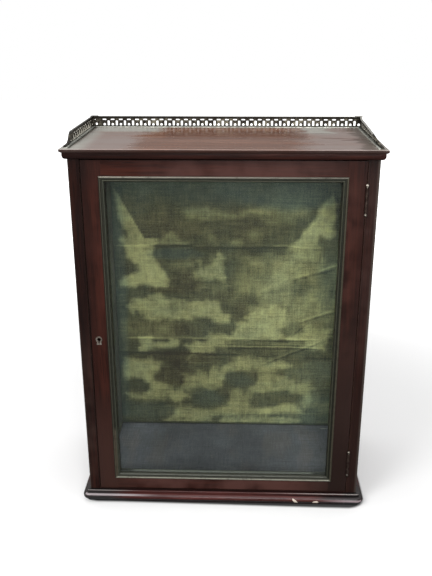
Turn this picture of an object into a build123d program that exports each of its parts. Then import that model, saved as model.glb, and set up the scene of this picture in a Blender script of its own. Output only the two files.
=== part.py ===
from build123d import *
import os

# A glazed table-top display case in mahogany with a brass gallery, a brass-beaded door and cloth linings.
# Millimetres. +X is the case's right, +Y its back, +Z up. The origin is on the floor, midway between the
# front of the base moulding and the back edge of the case, on the centre line.

# Case
case_width = 451.0
case_depth = 220.0
side_thick = 17.0
base_height = 21.0
door_opening_height = 562.5
cornice_height = 10.3
top_thick = 5.5
bottom_thick = 12.0
housing_depth = 4.0
back_thick = 8.0
back_rebate_width = 9.0
back_fit = 0.2
corner_round = 1.6

# Top board and cornice moulding
top_overhang = 9.3
top_edge_round = 1.1
top_undercut = 2.0
cornice_reach = 5.9
cornice_fascia = 3.4
cornice_foot = 0.9

# Base moulding
base_reach = 12.0
base_fillet_reach = 6.0
base_torus_height = 12.8
base_foot_height = 4.0
base_foot_reach = 5.0
base_edge_round = 0.6

# Linings
lining_thick = 6.5
cloth_thick = 1.5

# Door frame
door_thick = 18.0
door_gap = 1.0
door_back_gap = 0.5
stile_face = 25.5
top_rail_face = 23.7
bottom_rail_face = 20.0
door_edge_round = 0.6
tenon_length = 18.0
tenon_thick = 5.0
tenon_shoulder = 3.5
mortise_end_gap = 0.5

# Glazing
bead_seat_depth = 4.0
tongue_width = 4.5
tongue_thick = 3.0
glass_thick = 3.0
glass_lap = 3.0
glass_edge_gap = 1.0
glazing_bead_width = 7.5
glazing_bead_chamfer = 2.0
glazing_pin_radius = 0.5
glazing_pin_bite = 5.0
glazing_pin_end_margin = 45.0
glazing_pin_tall_count = 4
glazing_pin_wide_count = 3

# Brass bead on the front of the glass
astragal_width = 3.2
astragal_proud = 1.5
hollow_width = 2.3
hollow_depth = 1.5
inner_bead_width = 2.6
inner_bead_rise = 1.2
bead_lip = 0.6

# Hinges
hinge_height = 38.0
hinge_inset = 57.0
leaf_width = 13.0
leaf_thick = 1.0
knuckle_radius = 2.2
knuckle_count = 5
knuckle_gap = 0.15
hinge_pin_radius = 1.0
hinge_pin_clearance = 0.05
hinge_stand = 2.6
finial_radius = 2.3
finial_neck_length = 0.9
finial_sink = 0.2
hinge_screw_count = 3
hinge_screw_setback = 7.2
hinge_screw_end_margin = 6.0

# Wood screws
screw_head_radius = 2.0
screw_shank_radius = 0.9
hinge_screw_length = 10.0
slot_width = 0.6
slot_depth = 0.5
back_screw_head_radius = 3.2
back_screw_shank_radius = 1.5
back_screw_length = 20.0
back_screw_count = 5
back_screw_end_margin = 45.0

# Lock
key_height = 298.9
key_backset = 12.6
lock_height = 40.0
lock_width = 23.0
lock_depth = 8.0
lock_wall = 1.0
lock_drop = 15.0
lock_lug = 6.0
bolt_height = 8.0
bolt_length = 20.0
bolt_travel = 6.0
bolt_fit = 0.1
bolt_lift = 3.0
talon_width = 4.0
talon_depth = 2.0
key_post_radius = 0.8
spring_thick = 0.4
spring_width = 4.0
spring_end_gap = 1.0
spring_toe = 0.8
spring_bend = 1.2
guide_length = 4.5
guide_thick = 1.5
lock_screw_margin = 4.0
lock_screw_head_radius = 1.5
lock_screw_shank_radius = 0.7
lock_screw_length = 6.5

# Strike
strike_height = 26.0
strike_width = 10.0
strike_thick = 1.0
strike_screw_margin = 3.0
bolt_hole_margin = 0.6
bolt_hole_extra_depth = 1.5

# Escutcheon and keyhole
escutcheon_radius = 5.2
escutcheon_waist = 5.6
escutcheon_foot = 7.8
escutcheon_length = 14.2
escutcheon_depth = 3.0
escutcheon_proud = 0.5
keyhole_radius = 2.9
keyhole_slot_width = 2.3
keyhole_length = 9.4

# Gallery
gallery_height = 17.5
gallery_inset_side = 7.4
gallery_inset_back = 3.0
gallery_plate = 1.2
gallery_rail_width = 3.0
gallery_rail_height = 3.4
gallery_rail_round = 0.9
gallery_flange_width = 7.0
gallery_flange_thick = 0.8
fret_pitch = 13.9
fret_foot = 2.0
tall_slot_width = 3.4
tall_slot_height = 7.8
arch_width = 3.8
arch_height = 3.7
thin_slot_width = 6.2
thin_slot_height = 1.9
thin_slot_rise = 8.9
thin_slot_round = 0.75
first_arch_inset = 20.3
last_arch_inset = 3.4
corner_hole_inset = 6.8
corner_hole_radius = 1.8
corner_hole_rise = 4.4
corner_eyelet_inset = 4.4
corner_eyelet_radius = 0.7
corner_eyelet_rise = 11.6
scroll_run = 32.0
scroll_tail_length = 18.0
scroll_tail_height = 3.6
scroll_front_inset = 8.0
corner_cap_leg = 12.0
corner_cap_width = 3.6
corner_cap_thick = 0.9
gallery_pin_head_radius = 1.2
gallery_pin_head_top_radius = 0.85
gallery_pin_head_height = 0.6
gallery_pin_radius = 0.5
gallery_pin_length = 4.5
gallery_pin_inset = 4.2
gallery_pin_back_margin = 27.0
gallery_pin_side_margin = 41.0
gallery_pin_back_count = 7
gallery_pin_side_count = 3

# Each base moulding turns half of a right angle to its mitre
half_corner = 45.0

# How far a cutting shape runs past the face that it cuts
cut_past = 1.0

# Places worked out from the sizes
half_case = case_width / 2
half_inside = half_case - side_thick
front = -(case_depth + base_reach) / 2 + base_reach
back = front + case_depth
opening_top = base_height + door_opening_height
top_under = opening_top + cornice_height
top_upper = top_under + top_thick
panel_front = back - back_thick

door_back = front + door_thick
door_half = half_inside - door_gap
door_bottom = base_height + door_gap
door_top = opening_top - door_gap
bead_half = door_half - stile_face
bead_bottom = door_bottom + bottom_rail_face
bead_top = door_top - top_rail_face
tongue_front = front + bead_seat_depth
glass_front = tongue_front + tongue_thick
glass_back = glass_front + glass_thick
rebate_offset = tongue_width - glass_lap - glass_edge_gap
bead_width = astragal_width + hollow_width + inner_bead_width + bead_lip

lining_front = door_back + door_back_gap
lining_back = panel_front - lining_thick
lining_depth = lining_thick + cloth_thick
cloth_back_front = lining_back - cloth_thick

hinge_x = half_inside - door_gap / 2
hinge_y = front - hinge_stand
hinge_centres = [door_bottom + hinge_inset, door_top - hinge_inset]

lock_edge = -door_half
key_x = lock_edge + key_backset
lock_bottom = key_height - lock_drop
lock_top = lock_bottom + lock_height
lock_front = door_back - lock_depth
bolt_bottom = key_height + bolt_lift
bolt_top = bolt_bottom + bolt_height
bolt_middle_y = lock_front + lock_depth / 2
bolt_thick = lock_depth - 2 * lock_wall - 2 * bolt_fit

gallery_x = half_case + top_overhang - gallery_inset_side
gallery_y = back - gallery_inset_back
gallery_top = top_upper + gallery_height
gallery_end = front - top_overhang + scroll_front_inset


def block(x0, x1, y0, y1, z0, z1):
    """A box between two corners."""
    centre = Pos((x0 + x1) / 2, (y0 + y1) / 2, (z0 + z1) / 2)
    return centre * Box(x1 - x0, y1 - y0, z1 - z0)


def prism_z(points, z0, z1):
    """A polygon in XY raised from z0 to z1."""
    return Pos(0, 0, z0) * extrude(make_face(Polyline(*points, close=True)), z1 - z0)


def spaced(count, first, last):
    """Evenly spaced places, both ends included."""
    if count == 1:
        return [(first + last) / 2]
    return [first + (last - first) * i / (count - 1) for i in range(count)]


def wood_screw(head_radius, shank_radius, length):
    """A slotted countersunk screw pointing down -Z, its head flush with Z = 0, and the hole it fills."""
    head_height = head_radius - shank_radius
    head = Pos(0, 0, -head_height / 2) * Cone(shank_radius, head_radius, head_height)
    shank = Pos(0, 0, -length / 2) * Cylinder(shank_radius, length)
    body = head + shank
    slot = Pos(0, 0, -slot_depth / 2) * Box(2 * head_radius, slot_width, slot_depth)
    return body - slot, body


def put(places, shape):
    """Copies of a shape at a list of locations."""
    return [place * shape for place in places]


# Mouldings that run round the front and both sides


def run_front(profile, reach):
    """A moulding along the front, mitred at both ends; the profile is (outward, height)."""
    section = Plane(origin=(0, front, 0), x_dir=(0, -1, 0), z_dir=(-1, 0, 0)) * profile
    long_half = half_case + reach
    length = extrude(section, long_half, both=True)
    keep = [
        (-half_case, front),
        (-long_half, front - reach),
        (long_half, front - reach),
        (half_case, front),
    ]
    return length & prism_z(keep, 0, top_under)


def run_side(profile, reach, hand):
    """The same moulding along one side, mitred to the front length; hand is -1 for left and +1 for right."""
    section = Plane(origin=(hand * half_case, 0, 0), x_dir=(hand, 0, 0), z_dir=(0, -hand, 0)) * profile
    length = extrude(section, case_depth, both=True)
    keep = [
        (hand * half_case, front),
        (hand * (half_case + reach), front - reach),
        (hand * (half_case + reach), back),
        (hand * half_case, back),
    ]
    return length & prism_z(keep, 0, top_under)


def corner_section(profile, hand, outward):
    """A profile that stands at a front corner of the case and faces outward, with the corner's upright axis."""
    corner = (hand * half_case, front, 0)
    along = Vector(outward).cross(Vector(0, 0, 1))
    return Plane(origin=corner, x_dir=outward, z_dir=along) * profile, Axis(corner, (0, 0, hand))


def base_front(profile):
    """The base moulding's front length, with half of each rounded corner."""
    length = extrude(Plane(origin=(0, front, 0), x_dir=(0, -1, 0), z_dir=(-1, 0, 0)) * profile, half_case, both=True)
    for hand in (-1, 1):
        section, upright_axis = corner_section(profile, hand, (0, -1, 0))
        length = length + revolve(section, upright_axis, half_corner)
    return length


def base_side(profile, hand):
    """The base moulding along one side, with the other half of its rounded corner."""
    section, upright_axis = corner_section(profile, hand, (hand, 0, 0))
    length = extrude(section, case_depth, dir=(0, 1, 0))
    return length + revolve(section, upright_axis, -half_corner)


def cornice_profile():
    """A plain fascia over an ovolo that ends in a small foot."""
    curve_top = top_under - cornice_fascia
    curve = Spline(
        (cornice_reach, curve_top),
        (cornice_foot, opening_top),
        tangents=((0, -1), (-1, -0.15)),
    )
    rest = Polyline(
        (cornice_foot, opening_top),
        (0, opening_top),
        (0, top_under),
        (cornice_reach, top_under),
        (cornice_reach, curve_top),
    )
    return make_face(curve + rest)


def base_profile():
    """A small fillet on top of a torus, which stands on a foot set back under it."""
    radius = base_torus_height / 2
    middle = base_foot_height + radius
    torus = Pos(base_reach - radius, middle) * Circle(radius)
    body_width = base_reach - radius
    body = Pos(body_width / 2, middle) * Rectangle(body_width, base_torus_height)
    foot = Pos(base_foot_reach / 2, middle / 2) * Rectangle(base_foot_reach, middle)
    shelf = Pos(base_fillet_reach / 2, (middle + base_height) / 2) * Rectangle(
        base_fillet_reach, base_height - middle
    )
    top_corner = shelf.vertices().group_by(Axis.Y)[-1].sort_by(Axis.X)[-1]
    whole = torus + body + foot + fillet(top_corner, base_edge_round)
    return whole & (Pos(base_reach / 2, base_height / 2) * Rectangle(base_reach, base_height))


# Case boards


def hinge_mortise(centre_z, face_x, hand):
    """The shallow recess for a leaf in a face at face_x; hand is the way into the wood."""
    x0, x1 = sorted((face_x, face_x + hand * leaf_thick))
    z_half = hinge_height / 2
    return block(x0, x1, front - cut_past, front + leaf_width, centre_z - z_half, centre_z + z_half)


def hinge_screw_places(centre_z, face_x, hand):
    """Screw heads lie in the leaf's face and the screws point into the wood."""
    y = front + hinge_screw_setback
    reach = hinge_height / 2 - hinge_screw_end_margin
    turn = Rotation(0, -hand * 90, 0)
    return [Pos(face_x, y, centre_z + dz) * turn for dz in spaced(hinge_screw_count, -reach, reach)]


def strike_places():
    z_mid = (bolt_bottom + bolt_top) / 2
    reach = strike_height / 2 - strike_screw_margin
    turn = Rotation(0, 90, 0)
    return [Pos(-half_inside, bolt_middle_y, z_mid + dz) * turn for dz in (-reach, reach)]


def back_screw_places():
    x = half_inside + back_rebate_width / 2
    heights = spaced(back_screw_count, back_screw_end_margin, top_under - back_screw_end_margin)
    turn = Rotation(-90, 0, 0)
    return [Pos(hand * x, back, z) * turn for hand in (-1, 1) for z in heights]


def side_board(hand):
    """One side: grooves for the top and bottom boards and a rebate for the back panel."""
    x0, x1 = sorted((hand * half_inside, hand * half_case))
    board = block(x0, x1, front, back, 0, top_under)
    outer_front = board.edges().filter_by(Axis.Z).group_by(Axis.Y)[0].sort_by(Axis.X)
    board = fillet(outer_front[-1] if hand > 0 else outer_front[0], corner_round)
    groove0, groove1 = sorted((hand * half_inside, hand * (half_inside + housing_depth)))
    for z0, z1 in ((base_height - bottom_thick, base_height), (opening_top, top_under)):
        board = board - block(groove0, groove1, front, panel_front, z0, z1)
    rebate0, rebate1 = sorted((hand * half_inside, hand * (half_inside + back_rebate_width)))
    board = board - block(rebate0, rebate1, panel_front, back, 0, top_under)
    _, back_hole = wood_screw(back_screw_head_radius, back_screw_shank_radius, back_screw_length)
    holes = [p for p in back_screw_places() if p.position.X * hand > 0]
    return board - put(holes, back_hole)


def side_left():
    board = side_board(-1)
    z_mid = (bolt_bottom + bolt_top) / 2
    board = board - block(
        -half_inside - strike_thick,
        -half_inside,
        bolt_middle_y - strike_width / 2,
        bolt_middle_y + strike_width / 2,
        z_mid - strike_height / 2,
        z_mid + strike_height / 2,
    )
    board = board - bolt_pocket()
    _, hole = wood_screw(lock_screw_head_radius, lock_screw_shank_radius, lock_screw_length)
    return board - put(strike_places(), hole)


def side_right():
    board = side_board(1)
    _, hole = wood_screw(screw_head_radius, screw_shank_radius, hinge_screw_length)
    for centre_z in hinge_centres:
        board = board - hinge_mortise(centre_z, half_inside, 1)
        board = board - put(hinge_screw_places(centre_z, half_inside, 1), hole)
    return board


def bolt_pocket():
    """The space that the thrown bolt enters, through the strike and into the left side."""
    depth = bolt_travel - door_gap + bolt_hole_extra_depth
    return block(
        -half_inside - depth,
        -half_inside,
        bolt_middle_y - bolt_thick / 2 - bolt_hole_margin,
        bolt_middle_y + bolt_thick / 2 + bolt_hole_margin,
        bolt_bottom - bolt_hole_margin,
        bolt_top + bolt_hole_margin,
    )


def housed_board(z0, z1):
    """A board between the sides, its ends let into their grooves."""
    half = half_inside + housing_depth
    return block(-half, half, front, panel_front, z0, z1)


def top_board():
    half = half_case + top_overhang
    board = block(-half, half, front - top_overhang, back, top_under, top_upper)
    for height, edge_size, tool in (
        (top_upper, top_edge_round, fillet),
        (top_under, top_undercut, chamfer),
    ):
        rim = board.faces().filter_by(Axis.Z).sort_by(lambda f: abs(f.center().Z - height))[0].edges()
        edges = [e for e in rim if e.center().Y < back - top_overhang]
        board = tool(edges, edge_size)
    return board - put(gallery_pin_places(), gallery_pin_shank())


def back_panel():
    half = half_inside + back_rebate_width - back_fit
    panel = block(-half, half, panel_front, back, base_height - bottom_thick, top_under)
    _, hole = wood_screw(back_screw_head_radius, back_screw_shank_radius, back_screw_length)
    return panel - put(back_screw_places(), hole)


def back_screws():
    screw, _ = wood_screw(back_screw_head_radius, back_screw_shank_radius, back_screw_length)
    return Compound(children=put(back_screw_places(), screw))


# Linings: thin boards with cloth on the inner face


def lining_boards():
    inner = half_inside - lining_thick
    floor = base_height + lining_thick
    ceiling = opening_top - lining_thick
    return {
        "lining_board_back": block(
            -half_inside, half_inside, lining_back, panel_front, base_height, opening_top
        ),
        "lining_board_left": block(
            -half_inside, -inner, lining_front, lining_back, base_height, opening_top
        ),
        "lining_board_right": block(
            inner, half_inside, lining_front, lining_back, base_height, opening_top
        ),
        "lining_board_floor": block(-inner, inner, lining_front, lining_back, base_height, floor),
        "lining_board_ceiling": block(-inner, inner, lining_front, lining_back, ceiling, opening_top),
    }


def lining_cloths():
    wide = half_inside - lining_thick
    narrow = half_inside - lining_depth
    floor = base_height + lining_thick
    ceiling = opening_top - lining_thick
    depth = (lining_front, cloth_back_front)
    return {
        "cloth_back": block(-wide, wide, cloth_back_front, lining_back, floor, ceiling),
        "cloth_left": block(-wide, -narrow, *depth, floor, ceiling),
        "cloth_right": block(narrow, wide, *depth, floor, ceiling),
        "cloth_floor": block(-narrow, narrow, *depth, floor, floor + cloth_thick),
        "cloth_ceiling": block(-narrow, narrow, *depth, ceiling - cloth_thick, ceiling),
    }


# Door frame


def door_blank():
    """The whole frame with its rebates, before it is parted into stiles and rails."""
    frame = block(-door_half, door_half, front, door_back, door_bottom, door_top)
    frame = frame - opening_cut(0, front, tongue_front)
    frame = frame - opening_cut(tongue_width, tongue_front, glass_front)
    frame = frame - opening_cut(rebate_offset, glass_front, door_back)
    outer = [e for e in frame.faces().filter_by(Axis.Y).sort_by(Axis.Y)[0].outer_wire().edges()]
    return fillet(outer, door_edge_round)


def opening_cut(offset, y0, y1):
    """The frame opening drawn in by an offset from the outer edge of the brass bead."""
    return block(
        -bead_half + offset,
        bead_half - offset,
        y0,
        y1,
        bead_bottom + offset,
        bead_top - offset,
    )


def tenons(grow):
    """Four tenons, two on each rail; grow makes them the mortises."""
    shoulder = bead_half - tongue_width
    y_mid = (glass_front + door_back) / 2
    y0, y1 = y_mid - tenon_thick / 2, y_mid + tenon_thick / 2
    low = (door_bottom + tenon_shoulder, bead_bottom + rebate_offset - tenon_shoulder)
    high = (bead_top - rebate_offset + tenon_shoulder, door_top - tenon_shoulder)
    reach = shoulder + tenon_length + grow
    return {
        name: [block(-reach, -shoulder, y0, y1, *z), block(shoulder, reach, y0, y1, *z)]
        for name, z in (("bottom", low), ("top", high))
    }


def door_frame():
    blank = door_blank()
    shoulder = bead_half - tongue_width
    z_mid = (door_bottom + door_top) / 2
    y0, y1 = front - cut_past, door_back + cut_past
    mortises = [m for pair in tenons(mortise_end_gap).values() for m in pair]
    left = blank & block(-door_half, -shoulder, y0, y1, door_bottom, door_top)
    right = blank & block(shoulder, door_half, y0, y1, door_bottom, door_top)
    top = blank & block(-shoulder, shoulder, y0, y1, z_mid, door_top)
    bottom = blank & block(-shoulder, shoulder, y0, y1, door_bottom, z_mid)
    pins = tenons(0)
    for tenon in pins["top"]:
        top = top + tenon
    for tenon in pins["bottom"]:
        bottom = bottom + tenon
    pin_places = glazing_pin_places()
    left = left - (mortises + lock_cuts() + put(pin_places["left"], glazing_pin()))
    right = right - (mortises + put(pin_places["right"], glazing_pin()))
    top = top - put(pin_places["top"], glazing_pin())
    bottom = bottom - put(pin_places["bottom"], glazing_pin())
    _, hole = wood_screw(screw_head_radius, screw_shank_radius, hinge_screw_length)
    for centre_z in hinge_centres:
        right = right - hinge_mortise(centre_z, door_half, -1)
        right = right - put(hinge_screw_places(centre_z, door_half, -1), hole)
    return {
        "door_stile_lock": left,
        "door_stile_hinge": right,
        "door_rail_top": top,
        "door_rail_bottom": bottom,
    }


# Glass, brass bead and glazing beads


def prism_y(points, y0, y1):
    """A polygon in XZ carried from y0 to y1."""
    face = Plane(origin=(0, y1, 0), x_dir=(1, 0, 0), z_dir=(0, -1, 0)) * make_face(
        Polyline(*points, close=True)
    )
    return extrude(face, y1 - y0)


def glazing_ring(name, profile, width):
    """A section carried round the door opening as four mitred lengths; the profile is (inward, backward)."""
    x, z0, z1 = bead_half, bead_bottom, bead_top
    z_mid = (z0 + z1) / 2
    y0, y1 = front - astragal_proud - cut_past, door_back + cut_past
    inner_x, inner_z0, inner_z1 = x - width, z0 + width, z1 - width
    lengths = {
        "left": ((-x, front, z_mid), (1, 0, 0), (0, 0, 1), (z1 - z0) / 2),
        "right": ((x, front, z_mid), (-1, 0, 0), (0, 0, -1), (z1 - z0) / 2),
        "bottom": ((0, front, z0), (0, 0, 1), (-1, 0, 0), x),
        "top": ((0, front, z1), (0, 0, -1), (1, 0, 0), x),
    }
    mitres = {
        "left": [(-x, z0), (-inner_x, inner_z0), (-inner_x, inner_z1), (-x, z1)],
        "right": [(x, z0), (inner_x, inner_z0), (inner_x, inner_z1), (x, z1)],
        "bottom": [(-x, z0), (-inner_x, inner_z0), (inner_x, inner_z0), (x, z0)],
        "top": [(-x, z1), (-inner_x, inner_z1), (inner_x, inner_z1), (x, z1)],
    }
    ring = {}
    for side, (origin, x_dir, z_dir, half) in lengths.items():
        section = Plane(origin=origin, x_dir=x_dir, z_dir=z_dir) * profile
        ring[name + side] = extrude(section, half, both=True) & prism_y(mitres[side], y0, y1)
    return ring


def brass_bead_profile():
    """An astragal against the wood, a hollow, a smaller inner bead and a lip down to the glass."""
    hollow_start = astragal_width
    inner_start = hollow_start + hollow_width
    inner_end = inner_start + inner_bead_width
    glass_at = glass_front - front
    astragal = ThreePointArc((0, 0), (astragal_width / 2, -astragal_proud), (astragal_width, 0))
    step = Polyline((astragal_width, 0), (hollow_start, hollow_depth), (inner_start, hollow_depth))
    inner = ThreePointArc(
        (inner_start, hollow_depth),
        ((inner_start + inner_end) / 2, hollow_depth - inner_bead_rise),
        (inner_end, hollow_depth),
    )
    rest = Polyline(
        (inner_end, hollow_depth),
        (bead_width, hollow_depth + bead_lip),
        (bead_width, glass_at),
        (tongue_width, glass_at),
        (tongue_width, bead_seat_depth),
        (0, bead_seat_depth),
        (0, 0),
    )
    return make_face(astragal + step + inner + rest)


def glazing_bead_profile():
    """A square bead with its inner back corner taken off."""
    near, far = rebate_offset, rebate_offset + glazing_bead_width
    glass_at = glass_back - front
    outline = Polyline(
        (near, glass_at),
        (far, glass_at),
        (far, door_thick - glazing_bead_chamfer),
        (far - glazing_bead_chamfer, door_thick),
        (near, door_thick),
        close=True,
    )
    return make_face(outline)


def glazing_pin_places():
    """Where the pins start, on the inner edge of the glazing beads, and the way they point."""
    inset = rebate_offset + glazing_bead_width
    x = bead_half - inset
    y = (glass_back + door_back - glazing_bead_chamfer) / 2
    low, high = bead_bottom + inset, bead_top - inset
    tall = spaced(glazing_pin_tall_count, low + glazing_pin_end_margin, high - glazing_pin_end_margin)
    wide = spaced(glazing_pin_wide_count, -x + glazing_pin_end_margin, x - glazing_pin_end_margin)
    return {
        "left": [Pos(-x, y, z) * Rotation(0, -90, 0) for z in tall],
        "right": [Pos(x, y, z) * Rotation(0, 90, 0) for z in tall],
        "bottom": [Pos(u, y, low) * Rotation(180, 0, 0) for u in wide],
        "top": [Pos(u, y, high) for u in wide],
    }


def glazing_pin():
    """A headless pin along +Z from its place."""
    length = glazing_bead_width + glazing_pin_bite
    return Pos(0, 0, length / 2) * Cylinder(glazing_pin_radius, length)


def glass_pane():
    inset = rebate_offset + glass_edge_gap
    return opening_cut(inset, glass_front, glass_back)


# Hinges


def knuckles(own):
    """The barrel lengths of one leaf, centred on Z = 0; own is 0 for the case and 1 for the door."""
    each = (hinge_height - (knuckle_count - 1) * knuckle_gap) / knuckle_count
    starts = [-hinge_height / 2 + i * (each + knuckle_gap) for i in range(knuckle_count)]
    return [(start, start + each) for start in starts[own::2]]


def hinge_leaf(centre_z, hand):
    """A leaf let into the wood and joined to its knuckles; hand is +1 for the case and -1 for the door."""
    own = 0 if hand > 0 else 1
    x0, x1 = sorted((hinge_x + hand * door_gap / 2, hinge_x + hand * (door_gap / 2 + leaf_thick)))
    z_half = hinge_height / 2
    leaf = block(x0, x1, front, front + leaf_width, centre_z - z_half, centre_z + z_half)
    for z0, z1 in knuckles(own):
        neck = block(x0, x1, hinge_y, front, centre_z + z0, centre_z + z1)
        barrel = Pos(hinge_x, hinge_y, centre_z + (z0 + z1) / 2) * Cylinder(knuckle_radius, z1 - z0)
        leaf = leaf + neck + barrel
    bore = hinge_pin_radius if hand > 0 else hinge_pin_radius + hinge_pin_clearance
    leaf = leaf - Pos(hinge_x, hinge_y, centre_z) * Cylinder(bore, hinge_height + cut_past)
    _, hole = wood_screw(screw_head_radius, screw_shank_radius, hinge_screw_length)
    face_x = x0 if hand > 0 else x1
    return leaf - put(hinge_screw_places(centre_z, face_x, hand), hole)


def hinge_pin(centre_z):
    """The pin with a ball finial on a short neck at each end."""
    neck_radius = (hinge_pin_radius + knuckle_radius) / 2
    pin = Cylinder(hinge_pin_radius, hinge_height)
    for way in (-1, 1):
        end = way * hinge_height / 2
        pin = pin + Pos(0, 0, end + way * finial_neck_length / 2) * Cylinder(neck_radius, finial_neck_length)
        ball_z = end + way * (finial_neck_length + finial_radius - finial_sink)
        pin = pin + Pos(0, 0, ball_z) * Sphere(finial_radius)
    return Pos(hinge_x, hinge_y, centre_z) * pin


def hinges():
    screw, _ = wood_screw(screw_head_radius, screw_shank_radius, hinge_screw_length)
    pieces = {}
    case_screws = []
    door_screws = []
    for name, centre_z in zip(("lower", "upper"), hinge_centres):
        pieces[f"hinge_{name}_case_leaf"] = hinge_leaf(centre_z, 1)
        pieces[f"hinge_{name}_door_leaf"] = hinge_leaf(centre_z, -1)
        pieces[f"hinge_{name}_pin"] = hinge_pin(centre_z)
        case_screws += put(hinge_screw_places(centre_z, half_inside, 1), screw)
        door_screws += put(hinge_screw_places(centre_z, door_half, -1), screw)
    pieces["hinge_case_screws"] = Compound(children=case_screws)
    pieces["hinge_door_screws"] = Compound(children=door_screws)
    return pieces


# Lock, escutcheon and strike


def upright(outline, x, z, y0, y1):
    """A flat outline stood up in XZ with its centre at (x, z), carried from y0 to y1."""
    stood = Plane(origin=(x, y1, z), x_dir=(1, 0, 0), z_dir=(0, -1, 0)) * outline
    return extrude(stood, y1 - y0)


def keyhole(y0, y1):
    """A round hole over the key post with a parallel slot below it that ends in a half circle."""
    slot_end = keyhole_radius + keyhole_slot_width / 2 - keyhole_length
    slot = Pos(0, slot_end / 2) * Rectangle(keyhole_slot_width, -slot_end)
    outline = Circle(keyhole_radius) + slot + Pos(0, slot_end) * Circle(keyhole_slot_width / 2)
    return upright(outline, key_x, key_height, y0, y1)


def escutcheon_blank(y0, y1):
    """A round head with a tail that spreads a little from its waist to a flat foot."""
    foot = escutcheon_radius - escutcheon_length
    tail = Polyline(
        (-escutcheon_waist / 2, 0),
        (escutcheon_waist / 2, 0),
        (escutcheon_foot / 2, foot),
        (-escutcheon_foot / 2, foot),
        close=True,
    )
    return upright(Circle(escutcheon_radius) + make_face(tail), key_x, key_height, y0, y1)


def lock_box(inset, y0, y1):
    return block(
        lock_edge + inset,
        lock_edge + lock_width - inset,
        y0,
        y1,
        lock_bottom + inset,
        lock_top - inset,
    )


def lock_cap_blank():
    return block(
        lock_edge,
        lock_edge + lock_width,
        door_back - lock_wall,
        door_back,
        lock_bottom - lock_lug,
        lock_top + lock_lug,
    )


def lock_screw_places():
    """Two screws above and two below the case, driven from the back of the stile."""
    turn = Rotation(-90, 0, 0)
    columns = (lock_edge + lock_screw_margin, lock_edge + lock_width - lock_screw_margin)
    rows = (lock_bottom - lock_lug / 2, lock_top + lock_lug / 2)
    return [Pos(x, door_back, z) * turn for x in columns for z in rows]


def lock_cuts():
    """What is taken out of the lock stile."""
    _, hole = wood_screw(lock_screw_head_radius, lock_screw_shank_radius, lock_screw_length)
    cuts = [
        lock_box(0, lock_front, door_back),
        lock_cap_blank(),
        escutcheon_blank(front - cut_past, front + escutcheon_depth),
        keyhole(front, lock_front + cut_past),
    ]
    return cuts + put(lock_screw_places(), hole)


def escutcheon():
    ring = escutcheon_blank(front - escutcheon_proud, front + escutcheon_depth)
    return ring - keyhole(front - cut_past, front + escutcheon_depth + cut_past)


def bolt_bar(x0, x1, fit):
    return block(
        x0,
        x1,
        bolt_middle_y - bolt_thick / 2 - fit,
        bolt_middle_y + bolt_thick / 2 + fit,
        bolt_bottom - fit,
        bolt_top + fit,
    )


def lock_case():
    """A tray open to the back, with the bolt's mouth in its edge and two guides at the far end."""
    case = lock_box(0, lock_front, door_back - lock_wall)
    case = case - lock_box(lock_wall, lock_front + lock_wall, door_back)
    inner_right = lock_edge + lock_width - lock_wall
    for z in (bolt_bottom - bolt_fit - guide_thick, bolt_top + bolt_fit):
        case = case + block(
            inner_right - guide_length,
            inner_right,
            lock_front + lock_wall,
            door_back - lock_wall,
            z,
            z + guide_thick,
        )
    case = case - bolt_bar(lock_edge - cut_past, lock_edge + lock_wall, bolt_fit)
    return case - keyhole(lock_front - cut_past, lock_front + lock_wall)


def lock_cap():
    _, hole = wood_screw(lock_screw_head_radius, lock_screw_shank_radius, lock_screw_length)
    return lock_cap_blank() - put(lock_screw_places(), hole)


def lock_screws():
    screw, _ = wood_screw(lock_screw_head_radius, lock_screw_shank_radius, lock_screw_length)
    return Compound(children=put(lock_screw_places(), screw))


def lock_bolt():
    """The bolt drawn back flush with the door's edge, with the notch that the key turns it by."""
    bar = bolt_bar(lock_edge, lock_edge + bolt_length, 0)
    notch = block(
        key_x - talon_width / 2,
        key_x + talon_width / 2,
        lock_front,
        door_back,
        bolt_bottom,
        bolt_bottom + talon_depth,
    )
    return bar - notch


def key_post():
    length = door_back - lock_wall - lock_front
    y_mid = lock_front + length / 2
    return Pos(key_x, y_mid, key_height) * Rotation(90, 0, 0) * Cylinder(key_post_radius, length)


def lock_spring():
    """A bent strip under the top of the case that bears down on the bolt."""
    left = lock_edge + lock_wall + spring_end_gap
    right = lock_edge + lock_width - lock_wall - guide_length
    under = lock_top - lock_wall
    seat = bolt_top + bolt_fit
    points = [
        (left, under),
        (right, under),
        (right, under - spring_thick),
        (left + spring_toe, seat),
        (left, seat),
        (right - spring_bend, under - spring_thick),
        (left, under - spring_thick),
    ]
    y_mid = bolt_middle_y
    return prism_y(points, y_mid - spring_width / 2, y_mid + spring_width / 2)


def strike_plate():
    z_mid = (bolt_bottom + bolt_top) / 2
    plate = block(
        -half_inside - strike_thick,
        -half_inside,
        bolt_middle_y - strike_width / 2,
        bolt_middle_y + strike_width / 2,
        z_mid - strike_height / 2,
        z_mid + strike_height / 2,
    )
    _, hole = wood_screw(lock_screw_head_radius, lock_screw_shank_radius, lock_screw_length)
    return plate - [bolt_pocket(), *put(strike_places(), hole)]


def strike_screws():
    screw, _ = wood_screw(lock_screw_head_radius, lock_screw_shank_radius, lock_screw_length)
    return Compound(children=put(strike_places(), screw))


# Gallery


def arch_outline():
    radius = arch_width / 2
    straight = arch_height - radius
    body = Pos(0, straight / 2) * Rectangle(arch_width, straight)
    return Pos(0, fret_foot) * (body + Pos(0, straight) * Circle(radius))


def tall_slot_outline():
    return Pos(0, fret_foot + tall_slot_height / 2) * Rectangle(tall_slot_width, tall_slot_height)


def thin_slot_outline():
    return Pos(0, fret_foot + thin_slot_rise + thin_slot_height / 2) * RectangleRounded(
        thin_slot_width, thin_slot_height, thin_slot_round
    )


def round_hole_outline():
    return Pos(0, corner_hole_rise) * Circle(corner_hole_radius)


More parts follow.
